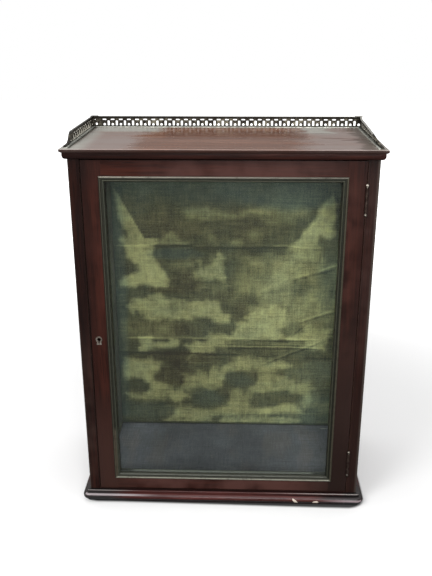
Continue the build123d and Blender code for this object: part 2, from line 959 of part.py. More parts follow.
def corner_eyelet_outline():
    return Pos(0, corner_eyelet_rise) * Circle(corner_eyelet_radius)


def fret_holes(start, end):
    """Arches at an even pitch, a thin slot over each but the last and a tall slot between them."""
    gaps = max(1, round((end - start) / fret_pitch))
    pitch = (end - start) / gaps
    at_arches = [Pos(start + i * pitch, 0) for i in range(gaps + 1)]
    between = [Pos(start + (i + 0.5) * pitch, 0) for i in range(gaps)]
    arches = put(at_arches, arch_outline()) + put(at_arches[:gaps], thin_slot_outline())
    return arches + put(between, tall_slot_outline())


def gallery_pin_places():
    """Pin heads on the gallery flanges."""
    top = top_upper + gallery_flange_thick
    reach = gallery_x - gallery_pin_back_margin
    back_x = spaced(gallery_pin_back_count, -reach, reach)
    side_y = spaced(
        gallery_pin_side_count, gallery_y - gallery_pin_side_margin, gallery_end + scroll_tail_length
    )
    side_x = gallery_x - gallery_pin_inset
    places = [Pos(x, gallery_y - gallery_pin_inset, top) for x in back_x]
    return places + [Pos(hand * side_x, y, top) for hand in (-1, 1) for y in side_y]


def gallery_pin_shank():
    return Pos(0, 0, -gallery_pin_length / 2) * Cylinder(gallery_pin_radius, gallery_pin_length)


def gallery_pins():
    head = Pos(0, 0, gallery_pin_head_height / 2) * Cone(
        gallery_pin_head_radius, gallery_pin_head_top_radius, gallery_pin_head_height
    )
    return Compound(children=put(gallery_pin_places(), head + gallery_pin_shank()))


def rail_section():
    """The top rail's section, rounded along its top; x is across the rail and y is height."""
    low = gallery_height - gallery_rail_height
    middle = Pos(0, (low + gallery_height) / 2)
    return middle * RectangleRounded(gallery_rail_width, gallery_rail_height, gallery_rail_round)


def gallery_flange(x0, x1, y0, y1):
    return block(x0, x1, y0, y1, top_upper, top_upper + gallery_flange_thick)


def gallery_back():
    """Pierced plate, top rail and foot flange; the fret runs from a corner panel to the right-hand end."""
    holes = fret_holes(first_arch_inset - gallery_x, gallery_x - last_arch_inset)
    holes.append(Pos(corner_hole_inset - gallery_x, 0) * round_hole_outline())
    holes.append(Pos(corner_eyelet_inset - gallery_x, 0) * corner_eyelet_outline())
    plate = Pos(0, gallery_height / 2) * Rectangle(2 * gallery_x, gallery_height)
    plate = plate - holes
    half_plate = gallery_plate / 2
    strip = upright(plate, 0, top_upper, gallery_y - half_plate, gallery_y + half_plate)
    half_rail = gallery_x + gallery_rail_width / 2
    across = Plane(origin=(-half_rail, gallery_y, top_upper), x_dir=(0, -1, 0), z_dir=(-1, 0, 0))
    rail = extrude(across * rail_section(), -2 * half_rail)
    half_flange = gallery_x - half_plate
    flange = gallery_flange(-half_flange, half_flange, gallery_y - gallery_flange_width, gallery_y)
    return strip + rail + flange - put(gallery_pin_places(), gallery_pin_shank())


def scroll_edge(lower):
    """The top edge of a side strip from the back: level, an S curve down, then the tail; lower drops it."""
    high = gallery_height - lower
    low = scroll_tail_height - lower
    full = gallery_y - gallery_end - scroll_tail_length - scroll_run
    turn = (full + scroll_run / 2, (high + low) / 2)
    foot = (full + scroll_run, low)
    down = TangentArc((full, high), turn, tangent=(1, 0))
    out = TangentArc(foot, turn, tangent=(-1, 0))
    return [down, out], (full, high), foot


def gallery_side(hand):
    """A pierced side strip whose front end runs down to the top board in an S curve."""
    start = gallery_plate / 2
    end = gallery_y - gallery_end
    curve, shoulder, foot = scroll_edge(0)
    rail_start = gallery_rail_width / 2
    notch = gallery_height - gallery_rail_height
    outline = Polyline(
        foot,
        (end, foot[1]),
        (end, 0),
        (start, 0),
        (start, notch),
        (rail_start, notch),
        (rail_start, gallery_height),
        shoulder,
    )
    plate = make_face(outline.edges() + curve)
    holes = fret_holes(start + first_arch_inset, shoulder[0] - fret_pitch / 2)
    holes.append(Pos(start + corner_hole_inset, 0) * round_hole_outline())
    holes.append(Pos(shoulder[0] + fret_pitch / 2, 0) * round_hole_outline())
    plate = plate - holes
    lower_curve, lower_shoulder, lower_foot = scroll_edge(gallery_rail_height)
    rail_outline = [
        *Polyline(foot, (end, foot[1]), (end, lower_foot[1]), lower_foot).edges(),
        *Polyline(
            lower_shoulder,
            (rail_start, lower_shoulder[1]),
            (rail_start, gallery_height),
            shoulder,
        ).edges(),
    ]
    rail = make_face(rail_outline + curve + lower_curve)
    stood = Plane(origin=(hand * gallery_x, gallery_y, top_upper), x_dir=(0, -1, 0), z_dir=(-1, 0, 0))
    strip = extrude(stood * plate, gallery_plate / 2, both=True)
    rail = extrude(stood * rail, gallery_rail_width / 2, both=True)
    inner, outer = sorted((hand * gallery_x, hand * (gallery_x - gallery_flange_width)))
    flange = gallery_flange(inner, outer, gallery_end, gallery_y - gallery_flange_width)
    return strip + rail + flange - put(gallery_pin_places(), gallery_pin_shank())


def gallery_corner_caps():
    """An angle plate over each back corner, where the rails meet."""
    half = corner_cap_width / 2
    caps = []
    for hand in (-1, 1):
        corner = hand * (gallery_x + half)
        inner = hand * (gallery_x + half - corner_cap_leg)
        leg = hand * (gallery_x - half)
        points = [
            (corner, gallery_y + half),
            (inner, gallery_y + half),
            (inner, gallery_y - half),
            (leg, gallery_y - half),
            (leg, gallery_y + half - corner_cap_leg),
            (corner, gallery_y + half - corner_cap_leg),
        ]
        caps.append(prism_z(points, gallery_top, gallery_top + corner_cap_thick))
    return Compound(children=caps)


def all_pieces():
    cornice = cornice_profile()
    base = base_profile()
    pieces = {
        "side_left": side_left(),
        "side_right": side_right(),
        "top_board": top_board(),
        "sub_top": housed_board(opening_top, top_under),
        "bottom_board": housed_board(base_height - bottom_thick, base_height),
        "back_panel": back_panel(),
        "back_screws": back_screws(),
        "cornice_front": run_front(cornice, cornice_reach),
        "cornice_left": run_side(cornice, cornice_reach, -1),
        "cornice_right": run_side(cornice, cornice_reach, 1),
        "base_moulding_front": base_front(base),
        "base_moulding_left": base_side(base, -1),
        "base_moulding_right": base_side(base, 1),
        "glass_pane": glass_pane(),
        "keyhole_escutcheon": escutcheon(),
        "lock_case": lock_case(),
        "lock_cap": lock_cap(),
        "lock_screws": lock_screws(),
        "lock_bolt": lock_bolt(),
        "lock_key_post": key_post(),
        "lock_spring": lock_spring(),
        "strike_plate": strike_plate(),
        "strike_screws": strike_screws(),
        "gallery_back": gallery_back(),
        "gallery_left": gallery_side(-1),
        "gallery_right": gallery_side(1),
        "gallery_corner_caps": gallery_corner_caps(),
        "gallery_pins": gallery_pins(),
    }
    pieces.update(lining_boards())
    pieces.update(lining_cloths())
    pieces.update(door_frame())
    pieces.update(glazing_ring("brass_bead_", brass_bead_profile(), bead_width))
    pin_places = glazing_pin_places()
    beads = glazing_ring("glazing_bead_", glazing_bead_profile(), rebate_offset + glazing_bead_width)
    for side, places in pin_places.items():
        beads["glazing_bead_" + side] -= put(places, glazing_pin())
    pieces.update(beads)
    pins = [pin for places in pin_places.values() for pin in put(places, glazing_pin())]
    pieces["glazing_pins"] = Compound(children=pins)
    pieces.update(hinges())
    return pieces


os.makedirs("parts", exist_ok=True)
for node, piece in all_pieces().items():
    export_step(piece, f"parts/{node}.step")
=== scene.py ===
import math
import bmesh
import bpy
import numpy as np
from mathutils import Euler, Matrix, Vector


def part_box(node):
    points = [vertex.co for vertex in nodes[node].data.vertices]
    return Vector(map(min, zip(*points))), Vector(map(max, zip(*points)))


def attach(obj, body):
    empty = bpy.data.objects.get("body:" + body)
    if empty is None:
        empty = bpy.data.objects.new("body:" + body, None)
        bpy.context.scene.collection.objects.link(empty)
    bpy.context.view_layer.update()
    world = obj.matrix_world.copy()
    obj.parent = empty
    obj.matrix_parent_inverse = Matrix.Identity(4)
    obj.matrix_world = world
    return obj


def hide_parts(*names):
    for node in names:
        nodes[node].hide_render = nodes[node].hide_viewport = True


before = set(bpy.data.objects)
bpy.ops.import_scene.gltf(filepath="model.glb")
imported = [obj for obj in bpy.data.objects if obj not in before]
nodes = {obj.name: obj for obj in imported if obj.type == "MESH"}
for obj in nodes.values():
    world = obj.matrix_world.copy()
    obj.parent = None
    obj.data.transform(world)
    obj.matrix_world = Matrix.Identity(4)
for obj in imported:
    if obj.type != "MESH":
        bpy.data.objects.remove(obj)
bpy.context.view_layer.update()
print("frame loaded:", len(nodes), "nodes")

mm = 0.001
white = (1.0, 1.0, 1.0)
axisOf = {"x": 0, "y": 1, "z": 2}
bpy.context.scene.view_settings.view_transform = "Standard"


def newObject(name, data):
    made = bpy.data.objects.new(name, data)
    bpy.context.scene.collection.objects.link(made)
    return made


# small tools for building materials from nodes

# New nodes go into the tree that was opened last
def openTree(opened):
    global tree
    tree = opened
    tree.nodes.clear()


def newMaterial(name):
    material = bpy.data.materials.new(name)
    material.use_nodes = True
    openTree(material.node_tree)
    return material


# A socket that does arithmetic: each +, -, * and abs on it adds a math node
class Field:
    def __init__(self, socket):
        self.socket = socket

    def __add__(self, other):
        return calc("ADD", self, other)

    def __sub__(self, other):
        return calc("SUBTRACT", self, other)

    def __mul__(self, other):
        return calc("MULTIPLY", self, other)

    def __abs__(self):
        return calc("ABSOLUTE", self)


# A value goes in as a constant, a field goes in as a link
def feed(socket, value):
    if isinstance(value, Field):
        tree.links.new(value.socket, socket)
    elif socket.type == "RGBA":
        socket.default_value = (*value, 1.0)
    else:
        socket.default_value = value


def addNode(kind, inputs, **settings):
    node = tree.nodes.new("ShaderNode" + kind)
    for name, value in settings.items():
        setattr(node, name, value)
    for key, value in inputs.items():
        feed(node.inputs[key], value)
    return node


def outOf(kind, inputs, output=0, **settings):
    return Field(addNode(kind, inputs, **settings).outputs[output])


def calc(operation, *values):
    return outOf("Math", dict(enumerate(values)), operation=operation)


def larger(first, *others):
    for other in others:
        first = calc("MAXIMUM", first, other)
    return first


def ramp(value, low, high, toLow=0.0, toHigh=1.0, kind="SMOOTHSTEP"):
    inputs = {"Value": value, "From Min": low, "From Max": high, "To Min": toLow, "To Max": toHigh}
    return outOf("MapRange", inputs, "Result", interpolation_type=kind)


def band(field, start, fullStart, fullEnd, end):
    return ramp(field, start, fullStart) * ramp(field, end, fullEnd)


def mixed(factor, first, second, mode="MIX", clamped=True):
    inputs = {0: factor, 6: first, 7: second}
    return outOf("Mix", inputs, 2, data_type="RGBA", blend_type=mode, clamp_factor=clamped)


def scaled(colour, gain):
    return mixed(1.0, colour, outOf("CombineXYZ", {0: gain, 1: gain, 2: gain}), "MULTIPLY")


def split(vector):
    return [Field(output) for output in addNode("SeparateXYZ", {0: vector}).outputs]


def axes():
    return split(outOf("TexCoord", {}, "Object"))


def attribute(name):
    return outOf("Attribute", {}, "Fac", attribute_name=name)


# The settings are scale, detail, roughness and distortion, or the first few of them
def noise(settings, stretch=(1.0, 1.0, 1.0), shift=(0.0, 0.0, 0.0), kind="Object"):
    source = outOf("TexCoord", {}, kind)
    vector = outOf("Mapping", {"Vector": source, "Location": shift, "Scale": stretch})
    named = dict(zip(("Scale", "Detail", "Roughness", "Distortion"), settings))
    return outOf("TexNoise", {"Vector": vector} | named)


def bump(height, distance, strength=1.0):
    return outOf("Bump", {"Height": height, "Distance": distance, "Strength": strength})


edgeLook = {"samples": 6, "range": (0.97, 0.75)}    # cosines of the angles where the mask starts and is full


# How near a point is to an edge: the angle between the true normal and one rounded over the radius
def edgeMask(radius):
    rounded = outOf("Bevel", {"Radius": radius}, samples=edgeLook["samples"])
    plain = outOf("NewGeometry", {}, "Normal")
    dot = outOf("VectorMath", {0: rounded, 1: plain}, "Value", operation="DOT_PRODUCT")
    return ramp(dot, *edgeLook["range"])


# axis of each side of a box, and the way in from it
sideOf = {"left": (0, 1.0), "right": (0, -1.0), "front": (1, 1.0), "bottom": (2, 1.0), "top": (2, -1.0)}


# Distance in from one side of a node's box
def inwards(name, side):
    axis, way = sideOf[side]
    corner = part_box(name)[0 if way > 0 else 1]
    return (axes()[axis] - corner[axis]) * way


def finishWith(material, inputs):
    addNode("OutputMaterial", {"Surface": outOf("BsdfPrincipled", inputs)})
    return material


def dress(names, material):
    for name in names:
        if not nodes[name].material_slots:
            nodes[name].data.materials.append(material)
        for slot in nodes[name].material_slots:
            slot.material = material


# wood, one finish for each board so that the figure doesn't run through the joints

woodTones = {
    "case": {"dark": (0.0065, 0.0022, 0.0017), "light": (0.027, 0.0080, 0.0053), "rough": 0.34, "wear": 0.06,
             "gloss": (0.10, 0.04)},
    "door": {"dark": (0.0110, 0.0030, 0.0020), "light": (0.046, 0.0118, 0.0074), "rough": 0.36, "wear": 0.04,
             "gloss": (0.10, 0.04)},
    "cornice": {"dark": (0.0145, 0.0040, 0.0028), "light": (0.059, 0.0160, 0.0110), "rough": 0.30, "wear": 0.10,
                "gloss": (0.11, 0.04)},
    "base": {"dark": (0.023, 0.0060, 0.0052), "light": (0.088, 0.0235, 0.0205), "rough": 0.17, "wear": 0.12,
             "gloss": (0.18, 0.10)},
    "sides": {"dark": (0.026, 0.0078, 0.0052), "light": (0.092, 0.0275, 0.0175)},    # the case's outer faces
    "inner": {"dark": (0.012, 0.0040, 0.0030), "light": (0.050, 0.0170, 0.0120), "rough": 0.55, "wear": 0.05,
              "gloss": (0.20, 0.0)},
    "top": {"dark": (0.135, 0.0570, 0.0330), "light": (0.262, 0.1170, 0.0690), "rough": 0.24, "wear": 0.30,
            "gloss": (0.07, 0.04)},
    "panel": {"dark": (0.045, 0.020, 0.012), "light": (0.115, 0.055, 0.032), "rough": 0.6, "wear": 0.15,
              "gloss": (0.22, 0.0)},
    "lining": {"dark": (0.230, 0.170, 0.110), "light": (0.340, 0.270, 0.185), "rough": 0.75, "wear": 0.05,
               "gloss": (0.22, 0.0)},
}

woodLook = {
    # noises, as settings
    "figure": (24.0, 3.0, 0.55, 0.7),      # broad dark and light bands
    "streak": (210.0, 2.0, 0.6),
    "pore": (900.0, 1.0),
    "dirt": (9.0, 3.0, 0.6),
    "glowCloud": (14.0, 3.0, 0.6),
    "alongGrain": 0.055,                   # how far the figure is drawn out along the board
    "alongPores": 0.0275,
    "shares": (0.62, 0.38),                # of figure and of streaks in the colour
    "figureRange": (0.36, 0.66),
    "poreRange": (0.58, 0.70),
    "poreShare": 0.6,
    "dirtRange": (0.50, 0.80, 0.0, 0.55),
    "glowRange": (0.30, 0.62),
    "wearWidth": 1.1 * mm,
    "wearRange": (0.30, 0.62, 0.25, 1.0),
    "roughRange": (0.3, 0.7),              # of the dirt, where the board is clean and where it is dirty
    "roughSpread": (-0.06, 0.12),          # what each does to the tone's roughness
    "streakRelief": 0.5,                   # against the pores' 1
    "relief": (0.12 * mm, 0.6),            # depth and strength
    "coatRoughness": 0.12,
    "outerFace": (0.15 * mm, 0.05 * mm),   # how thick the outer face's own colour is
    "poreColour": (0.004, 0.0016, 0.0013),
    "wearColour": (0.230, 0.135, 0.105),
    # the dark below is painted shade at the gaps round the door, under the cornice and along the cornice's foot, and
    # grime lower down
    "shadeAndGrime": (0.0030, 0.0014, 0.0012),
    # the colour below: grey polish, and within a millimetre of the hinge-side gap painted light that makes the gap
    # read less dark
    "dull": (0.0232, 0.0122, 0.0098),      # polish gone grey
    # the colour below: an arris rubbed pale, which also paints the arris's highlight
    "rubbedHighlight": (0.0760, 0.0610, 0.0520),    # an arris rubbed bare
    # the colour below: unpolished wood on the case sides' inner faces, where it is also painted light in the door's
    # gaps
    "rawAndGapLight": (0.1500, 0.0800, 0.0580),       # faces that were never polished
    "greyed": (0.0375, 0.0178, 0.0140),    # polish clouded near the foot
    "neutral": (0.0180, 0.0205, 0.0200),   # dirt on the ends of the base
}


def woodColour(tone, grain, shift):
    look = woodLook
    drawnOut, poresOut = (tuple(share if axis == grain else 1.0 for axis in "xyz")
                          for share in (look["alongGrain"], look["alongPores"]))
    figure, streak = noise(look["figure"], drawnOut, shift), noise(look["streak"], drawnOut, shift)
    pores = ramp(noise(look["pore"], poresOut, shift), *look["poreRange"])
    dirt = noise(look["dirt"], shift=shift)
    level = figure * look["shares"][0] + streak * look["shares"][1]
    colour = mixed(ramp(level, *look["figureRange"]), tone["dark"], tone["light"])
    colour = mixed(pores * look["poreShare"], colour, look["poreColour"])
    colour = mixed(ramp(dirt, *look["dirtRange"]), colour, tone["dark"])
    return colour, streak, pores, dirt


def woodFinish(tone, colour, streak, pores, dirt):
    look = woodLook
    wear = edgeMask(look["wearWidth"]) * ramp(dirt, *look["wearRange"]) * tone["wear"]
    smooth, rough = (tone["rough"] + spread for spread in look["roughSpread"])
    return {
        "Base Color": mixed(wear, colour, look["wearColour"]),
        "Roughness": ramp(dirt, *look["roughRange"], smooth, rough),
        "Normal": bump(streak * look["streakRelief"] - pores, *look["relief"]),
        "Specular IOR Level": tone["gloss"][0],
        "Coat Weight": tone["gloss"][1],
        "Coat Roughness": look["coatRoughness"],
    }


# Redder and lighter in the middle of a board: axis, centre on it, distance from it where the glow is full,
# distance where it ends, strength, colour
boardGlow = {
    "door_rail_top": ("x", 0.030, 0.105, 0.165, 0.55, (0.092, 0.0400, 0.0330)),
    "door_rail_bottom": ("x", 0.0, 0.160, 0.190, 0.95, (0.070, 0.0300, 0.0245)),
    "door_stile_lock": ("z", 0.44, 0.060, 0.200, 0.30, (0.085, 0.0270, 0.0190)),
    "door_stile_hinge": ("z", 0.40, 0.100, 0.200, 0.56, (0.085, 0.0300, 0.0220)),
    "side_left": ("z", 0.10, 0.100, 0.250, 0.50, (0.044, 0.0250, 0.0200)),
    "side_right": ("z", 0.42, 0.080, 0.190, 0.38, (0.062, 0.0340, 0.0290)),
}


def glow(colour, along, centre, full, none, strength, tint):
    away = abs(axes()[axisOf[along]] - centre)
    cloud = ramp(noise(woodLook["glowCloud"]), *woodLook["glowRange"])
    return mixed(ramp(away, none, full, 0.0, strength) * cloud, colour, tint)


# Painted shade, painted light, grime and wear by the sides of a board: side, distance in millimetres where it is
# full, distance where it ends, strength, and a colour from woodLook
boardShadeAndWear = {
    # dark lines within about 2 mm of an edge are painted shade in the gaps round the door; the wider dark at the
    # tops of the door's top rail and the case sides is painted shadow under the cornice
    "door_rail_top": [("top", 0.2, 1.0, 0.60, "shadeAndGrime"), ("top", 2.0, 15.0, 0.42, "shadeAndGrime")],
    "door_rail_bottom": [("bottom", 0.7, 2.0, 0.92, "shadeAndGrime"), ("right", 18.0, 90.0, 0.80, "dull"),
                         ("left", 18.0, 62.0, 0.50, "greyed")],
    "door_stile_lock": [("left", 0.3, 1.6, 0.85, "shadeAndGrime"), ("left", 2.0, 26.0, 0.45, "shadeAndGrime"),
                        ("top", 0.2, 1.0, 0.60, "shadeAndGrime"), ("bottom", 60.0, 220.0, 0.75, "greyed")],
    # the hinge stile's edge inside its gap is painted lighter: painted light against the gap's shade
    "door_stile_hinge": [("top", 0.2, 1.0, 0.60, "shadeAndGrime"), ("right", 1.0, 20.0, 0.50, "shadeAndGrime"),
                         ("right", 0.0, 0.8, 0.80, "dull"), ("bottom", 150.0, 430.0, 0.90, "dull"),
                         ("bottom", 40.0, 170.0, 0.35, "shadeAndGrime")],
    # painted shade along the edge by the door's gap, and the inner face seen in that gap painted lighter as painted
    # light
    "side_left": [("right", 0.2, 1.6, 0.85, "shadeAndGrime"), ("top", 0.0, 50.0, 0.45, "shadeAndGrime"),
                  ("left", 0.4, 2.4, 0.55, "rubbedHighlight"), ("right", 0.02, 0.06, 0.55, "rawAndGapLight")],
    # the edge and inner face seen in the hinge-side gap are painted lighter: painted light against the gap's shade
    "side_right": [("left", 0.0, 0.8, 0.80, "dull"), ("top", 2.0, 34.0, 0.55, "shadeAndGrime"),
                   ("bottom", 120.0, 300.0, 0.50, "dull"), ("right", 1.4, 5.0, 0.72, "rubbedHighlight"),
                   ("bottom", 200.0, 330.0, 0.26, "shadeAndGrime"), ("left", 0.02, 0.06, 1.0, "rawAndGapLight")],
    "base_moulding_left": [("front", 15.0, 60.0, 0.85, "neutral")],
    "base_moulding_right": [("front", 15.0, 60.0, 0.85, "neutral")],
    # the cornice's lowest millimetres are painted shade
    "cornice_front": [("bottom", 0.6, 2.0, 0.74, "shadeAndGrime"), ("left", 40.0, 190.0, 0.45, "shadeAndGrime")],
}


def shadeAndGrime(colour, name):
    for side, full, none, strength, tint in boardShadeAndWear.get(name, []):
        share = ramp(inwards(name, side), none * mm, full * mm, 0.0, strength)
        colour = mixed(share, colour, woodLook[tint])
    return colour


def boardShift(name):
    order = sorted(nodes).index(name)
    return (0.37 * order, 0.53 * order, 0.29 * order)


def wood(name, toneName, grain):
    material = newMaterial((toneName if toneName in ("panel", "lining") else "mahogany") + "." + name)
    tone, shift = woodTones[toneName], boardShift(name)
    colour, streak, pores, dirt = woodColour(tone, grain, shift)
    if name in boardGlow:
        colour = glow(colour, *boardGlow[name])
    inputs = woodFinish(tone, colour, streak, pores, dirt)
    inputs["Base Color"] = shadeAndGrime(inputs["Base Color"], name)
    if name.startswith("side_"):
        face = ramp(inwards(name, name.split("_")[1]), *woodLook["outerFace"])
        polished = woodColour(woodTones["sides"], grain, shift)[0]
        inputs["Base Color"] = mixed(face, inputs["Base Color"], polished)
    return finishWith(material, inputs)


# tone, grain, boards
boards = [
    ("case", "z", ["side_left", "side_right"]),
    ("cornice", "x", ["cornice_front"]),
    ("cornice", "y", ["cornice_left", "cornice_right"]),
    ("base", "y", ["base_moulding_left", "base_moulding_right"]),
    ("door", "z", ["door_stile_lock", "door_stile_hinge"]),
    ("door", "x", ["door_rail_top", "door_rail_bottom"]),
    ("inner", "x", ["sub_top", "bottom_board", "glazing_bead_top"]),
    ("inner", "z", ["glazing_bead_left", "glazing_bead_right"]),
    ("panel", "z", ["back_panel"]),
    ("lining", "z", ["lining_board_back", "lining_board_left", "lining_board_right"]),
    ("lining", "x", ["lining_board_floor", "lining_board_ceiling"]),
]
for toneName, grain, names in boards:
    for name in names:
        dress([name], wood(name, toneName, grain))
print("boards finished:", sum(len(names) for toneName, grain, names in boards))


# the bottom glazing bead, with dust lying on it along the glass

dustLook = {
    "colour": (0.270, 0.276, 0.258),
    "thin": (0.095, 0.098, 0.093),
    # where it ends and where it is full: in from the front, out from the middle, down from the top
    "reach": (4.6 * mm, 3.1 * mm),
    "run": (0.158, 0.144),
    "depth": (2.5 * mm, 1.0 * mm),
}


def dustyBead(name):
    material = newMaterial("mahogany." + name)
    look, tone = dustLook, woodTones["inner"]
    inputs = woodFinish(tone, *woodColour(tone, "x", boardShift(name)))
    above = ramp(inwards(name, "top"), *look["depth"])
    colour = mixed(above, inputs["Base Color"], look["thin"])
    thick = ramp(inwards(name, "front"), *look["reach"]) * ramp(abs(axes()[0]), *look["run"]) * above
    inputs["Base Color"] = mixed(thick, colour, look["colour"])
    return finishWith(material, inputs)


dress(["glazing_bead_bottom"], dustyBead("glazing_bead_bottom"))


# the top board: paler towards both ends, sun fading and painted sheen, redder in the middle, with painted
# reflections, shade and highlight

topLook = {
    # colours: the first is sun fading and painted sheen, the second a painted reflection, the third the gallery's
    # painted reflection and the scratches' colour, then a painted highlight on the front arris, painted shade on the
    # front edge face, and painted shade beside the end strips
    "fadedAndSheen": (0.248, 0.198, 0.180),
    "reflection": (0.345, 0.335, 0.302),
    "shade": (0.075, 0.0290, 0.0185),
    "lip": (0.430, 0.360, 0.335),
    "edge": (0.024, 0.0080, 0.0056),
    "beside": (0.085, 0.0620, 0.0480),
    # noises with their stretch on each axis; the first moves places along x, by up to half its reach in metres
    "wander": ((16.0, 3.0, 0.6), (1.0, 2.2, 1.0)),
    "wanderReach": 0.06,
    "streakNoise": ((46.0, 3.0, 0.6), (0.10, 1.0, 1.0)),
    # the fading and painted sheen by streaks, in the open and over the red middle: range of the noise, range of the
    # fading
    "fadedEnds": (0.25, 0.60, 0.70, 1.0),
    "fadedMiddle": (0.40, 0.75, 0.0, 0.12),
    # places in metres: bands start, are full, stop being full and end; ramps end and are full, then the values
    "middle": (-0.150, -0.105, 0.085, 0.150),
    "leftReflection": (-0.188, -0.214),
    "rightReflection": (0.202, 0.220, 0.0, 0.75),
    "backLeftReflection": ((0.040, 0.062), (-0.088, -0.120)),                    # along y, along x
    "backRightReflection": ((0.024, 0.048), (0.124, 0.138, 0.162, 0.184)),
    "reflectionStreak": (0.25, 0.60, 0.65, 1.0),
    "backShade": ((-0.034, -0.012, 0.042, 0.062), (-0.108, -0.086, 0.114, 0.132), 0.46),    # y, x, strength
    "besideLeft": ((-0.2240, -0.2210, -0.2190, -0.2160), (-0.11, -0.02, 0.15, 0.72)),
    "besideRight": ((0.193, 0.207, 0.220, 0.232), 0.74),
    "lipReach": (3.0 * mm, 1.4 * mm, 0.0, 0.42),
    "edgeReach": (0.6 * mm, 1.1 * mm, 0.0, 0.94),
    # the roughness is higher where the board is faded and paler with painted sheen
    "roughness": (0.10, 0.32),      # in the red middle and where it is faded
    # scratches: middle x and y, half length and width, turn in degrees
    "scratches": [(0.176, -0.012, 0.030, 0.0030, -8.0), (0.196, -0.026, 0.022, 0.0030, 14.0),
                  (0.150, 0.040, 0.026, 0.0020, -4.0)],
    "scratchShare": 0.72,
    "scratchNoise": (260.0,),
}


patchLook = {"ragged": 0.9, "edge": (1.5, 1.25)}    # how far noise moves the edge, where it ends and is full


# Soft ellipse on two coordinates, 1 inside and 0 outside, from the square of the distance over the half sizes
def patch(first, second, place, ragged):
    middleFirst, middleSecond, halfLength, halfWidth, turn = place
    c, s = math.cos(math.radians(turn)), math.sin(math.radians(turn))
    du, dv = first - middleFirst, second - middleSecond
    along = du * (c / halfLength) + dv * (s / halfLength)
    across = dv * (c / halfWidth) - du * (s / halfWidth)
    return ramp(ragged * patchLook["ragged"] + (along * along + across * across), *patchLook["edge"])


def topFinish(name="top_board"):
    material = newMaterial("mahogany." + name)
    tone, look = woodTones["top"], topLook
    colour, streak, pores, dirt = woodColour(tone, "x", boardShift(name))
    x, y, z = axes()
    moved = x + (noise(*look["wander"]) - 0.5) * look["wanderReach"]
    streakNoise = noise(*look["streakNoise"])
    # paler towards both ends and in streaks: sun fading and painted sheen
    fadedAndSheen = ramp(streakNoise, *look["fadedEnds"]) - band(moved, *look["middle"])
    fadedAndSheen = larger(fadedAndSheen, ramp(streakNoise, *look["fadedMiddle"]))
    colour = mixed(fadedAndSheen, colour, look["fadedAndSheen"])
    # painted reflection of the gallery: a redder, darker band along the back of the middle
    alongY, alongX, strength = look["backShade"]
    colour = mixed(band(y, *alongY) * band(moved, *alongX) * strength, colour, look["shade"])
    # painted reflection, pale along both ends and in the back corners
    alongY, alongX = look["backLeftReflection"]
    backLeft = ramp(y, *alongY) * ramp(moved, *alongX)
    alongY, alongX = look["backRightReflection"]
    backRight = ramp(y, *alongY) * band(moved, *alongX)
    reflection = larger(ramp(x, *look["leftReflection"]), ramp(x, *look["rightReflection"]), backLeft, backRight)
    colour = mixed(reflection * ramp(streakNoise, *look["reflectionStreak"]), colour, look["reflection"])
    # painted shade beside the gallery's two end strips
    alongX, alongY = look["besideLeft"]
    besideLeft = band(x, *alongX) * ramp(y, *alongY)
    alongX, strength = look["besideRight"]
    colour = mixed(larger(besideLeft, band(moved, *alongX) * strength), colour, look["beside"])
    ragged = noise(look["scratchNoise"])
    for scratch in look["scratches"]:
        colour = mixed(patch(x, y, scratch, ragged) * look["scratchShare"], colour, look["shade"])
    inputs = woodFinish(tone, colour, streak, pores, dirt)
    inputs["Roughness"] = ramp(fadedAndSheen, 0.0, 1.0, *look["roughness"])
    # painted highlight along the front arris, and painted shade on the front edge face
    colour = mixed(ramp(inwards(name, "front"), *look["lipReach"]), inputs["Base Color"], look["lip"])
    inputs["Base Color"] = mixed(ramp(inwards(name, "top"), *look["edgeReach"]), colour, look["edge"])
    return finishWith(material, inputs)


dress(["top_board"], topFinish())


# the front base moulding, with painted shade and highlights, and two chips where pale wood shows

baseLook = {
    "shadeAndGrime": (0.0055, 0.0040, 0.0038),
    # heights and places along x in metres. Painted shade low on the round and in the crease over it, and grey by
    # both ends
    "low": (0.0112, 0.0082, 0.0, 0.90),
    "crease": ((0.0162, 0.0170, 0.0184, 0.0194), (0.02, 0.13, 0.25, 0.85)),
    "ends": ((-0.150, -0.200), (0.196, 0.210), 0.85),
    # painted shade towards the right, then painted highlights on the crest: colour, band of heights, ramp along x
    "bands": [
        ((0.0050, 0.0034, 0.0034), (0.0128, 0.0138, 0.0184, 0.0194), (0.150, 0.182, 0.0, 0.92)),
        ((0.300, 0.262, 0.270), (0.0132, 0.0142, 0.0156, 0.0164), (-0.100, -0.172, 0.08, 0.95)),
        ((0.300, 0.235, 0.250), (0.0088, 0.0098, 0.0122, 0.0134), (0.155, 0.215, 0.0, 0.85)),
    ],
    # the little shelf: its height, how far back its top's painted shade begins, the painted highlight on its edge
    # and the colour of that
    "shelf": (0.0196, 0.0204),
    "shelfTop": (7.4 * mm, 8.4 * mm, 0.0, 0.88),
    "shelfEdge": (7.6 * mm, 6.8 * mm),
    "shelfAlong": ((0.05, 0.195, 0.08, 0.95), (-0.13, -0.19, 0.0, 0.55)),
    "rubbedHighlight": (0.250, 0.228, 0.218),
    # chips: middle x, middle z, half length, half width, turn in degrees
    "chips": [(0.1226, 0.0094, 0.0064, 0.0022, -42.0), (0.1565, 0.0078, 0.0052, 0.0030, 10.0)],
    "chipColour": (0.66, 0.56, 0.47),
    "chipNoise": (500.0,),
}


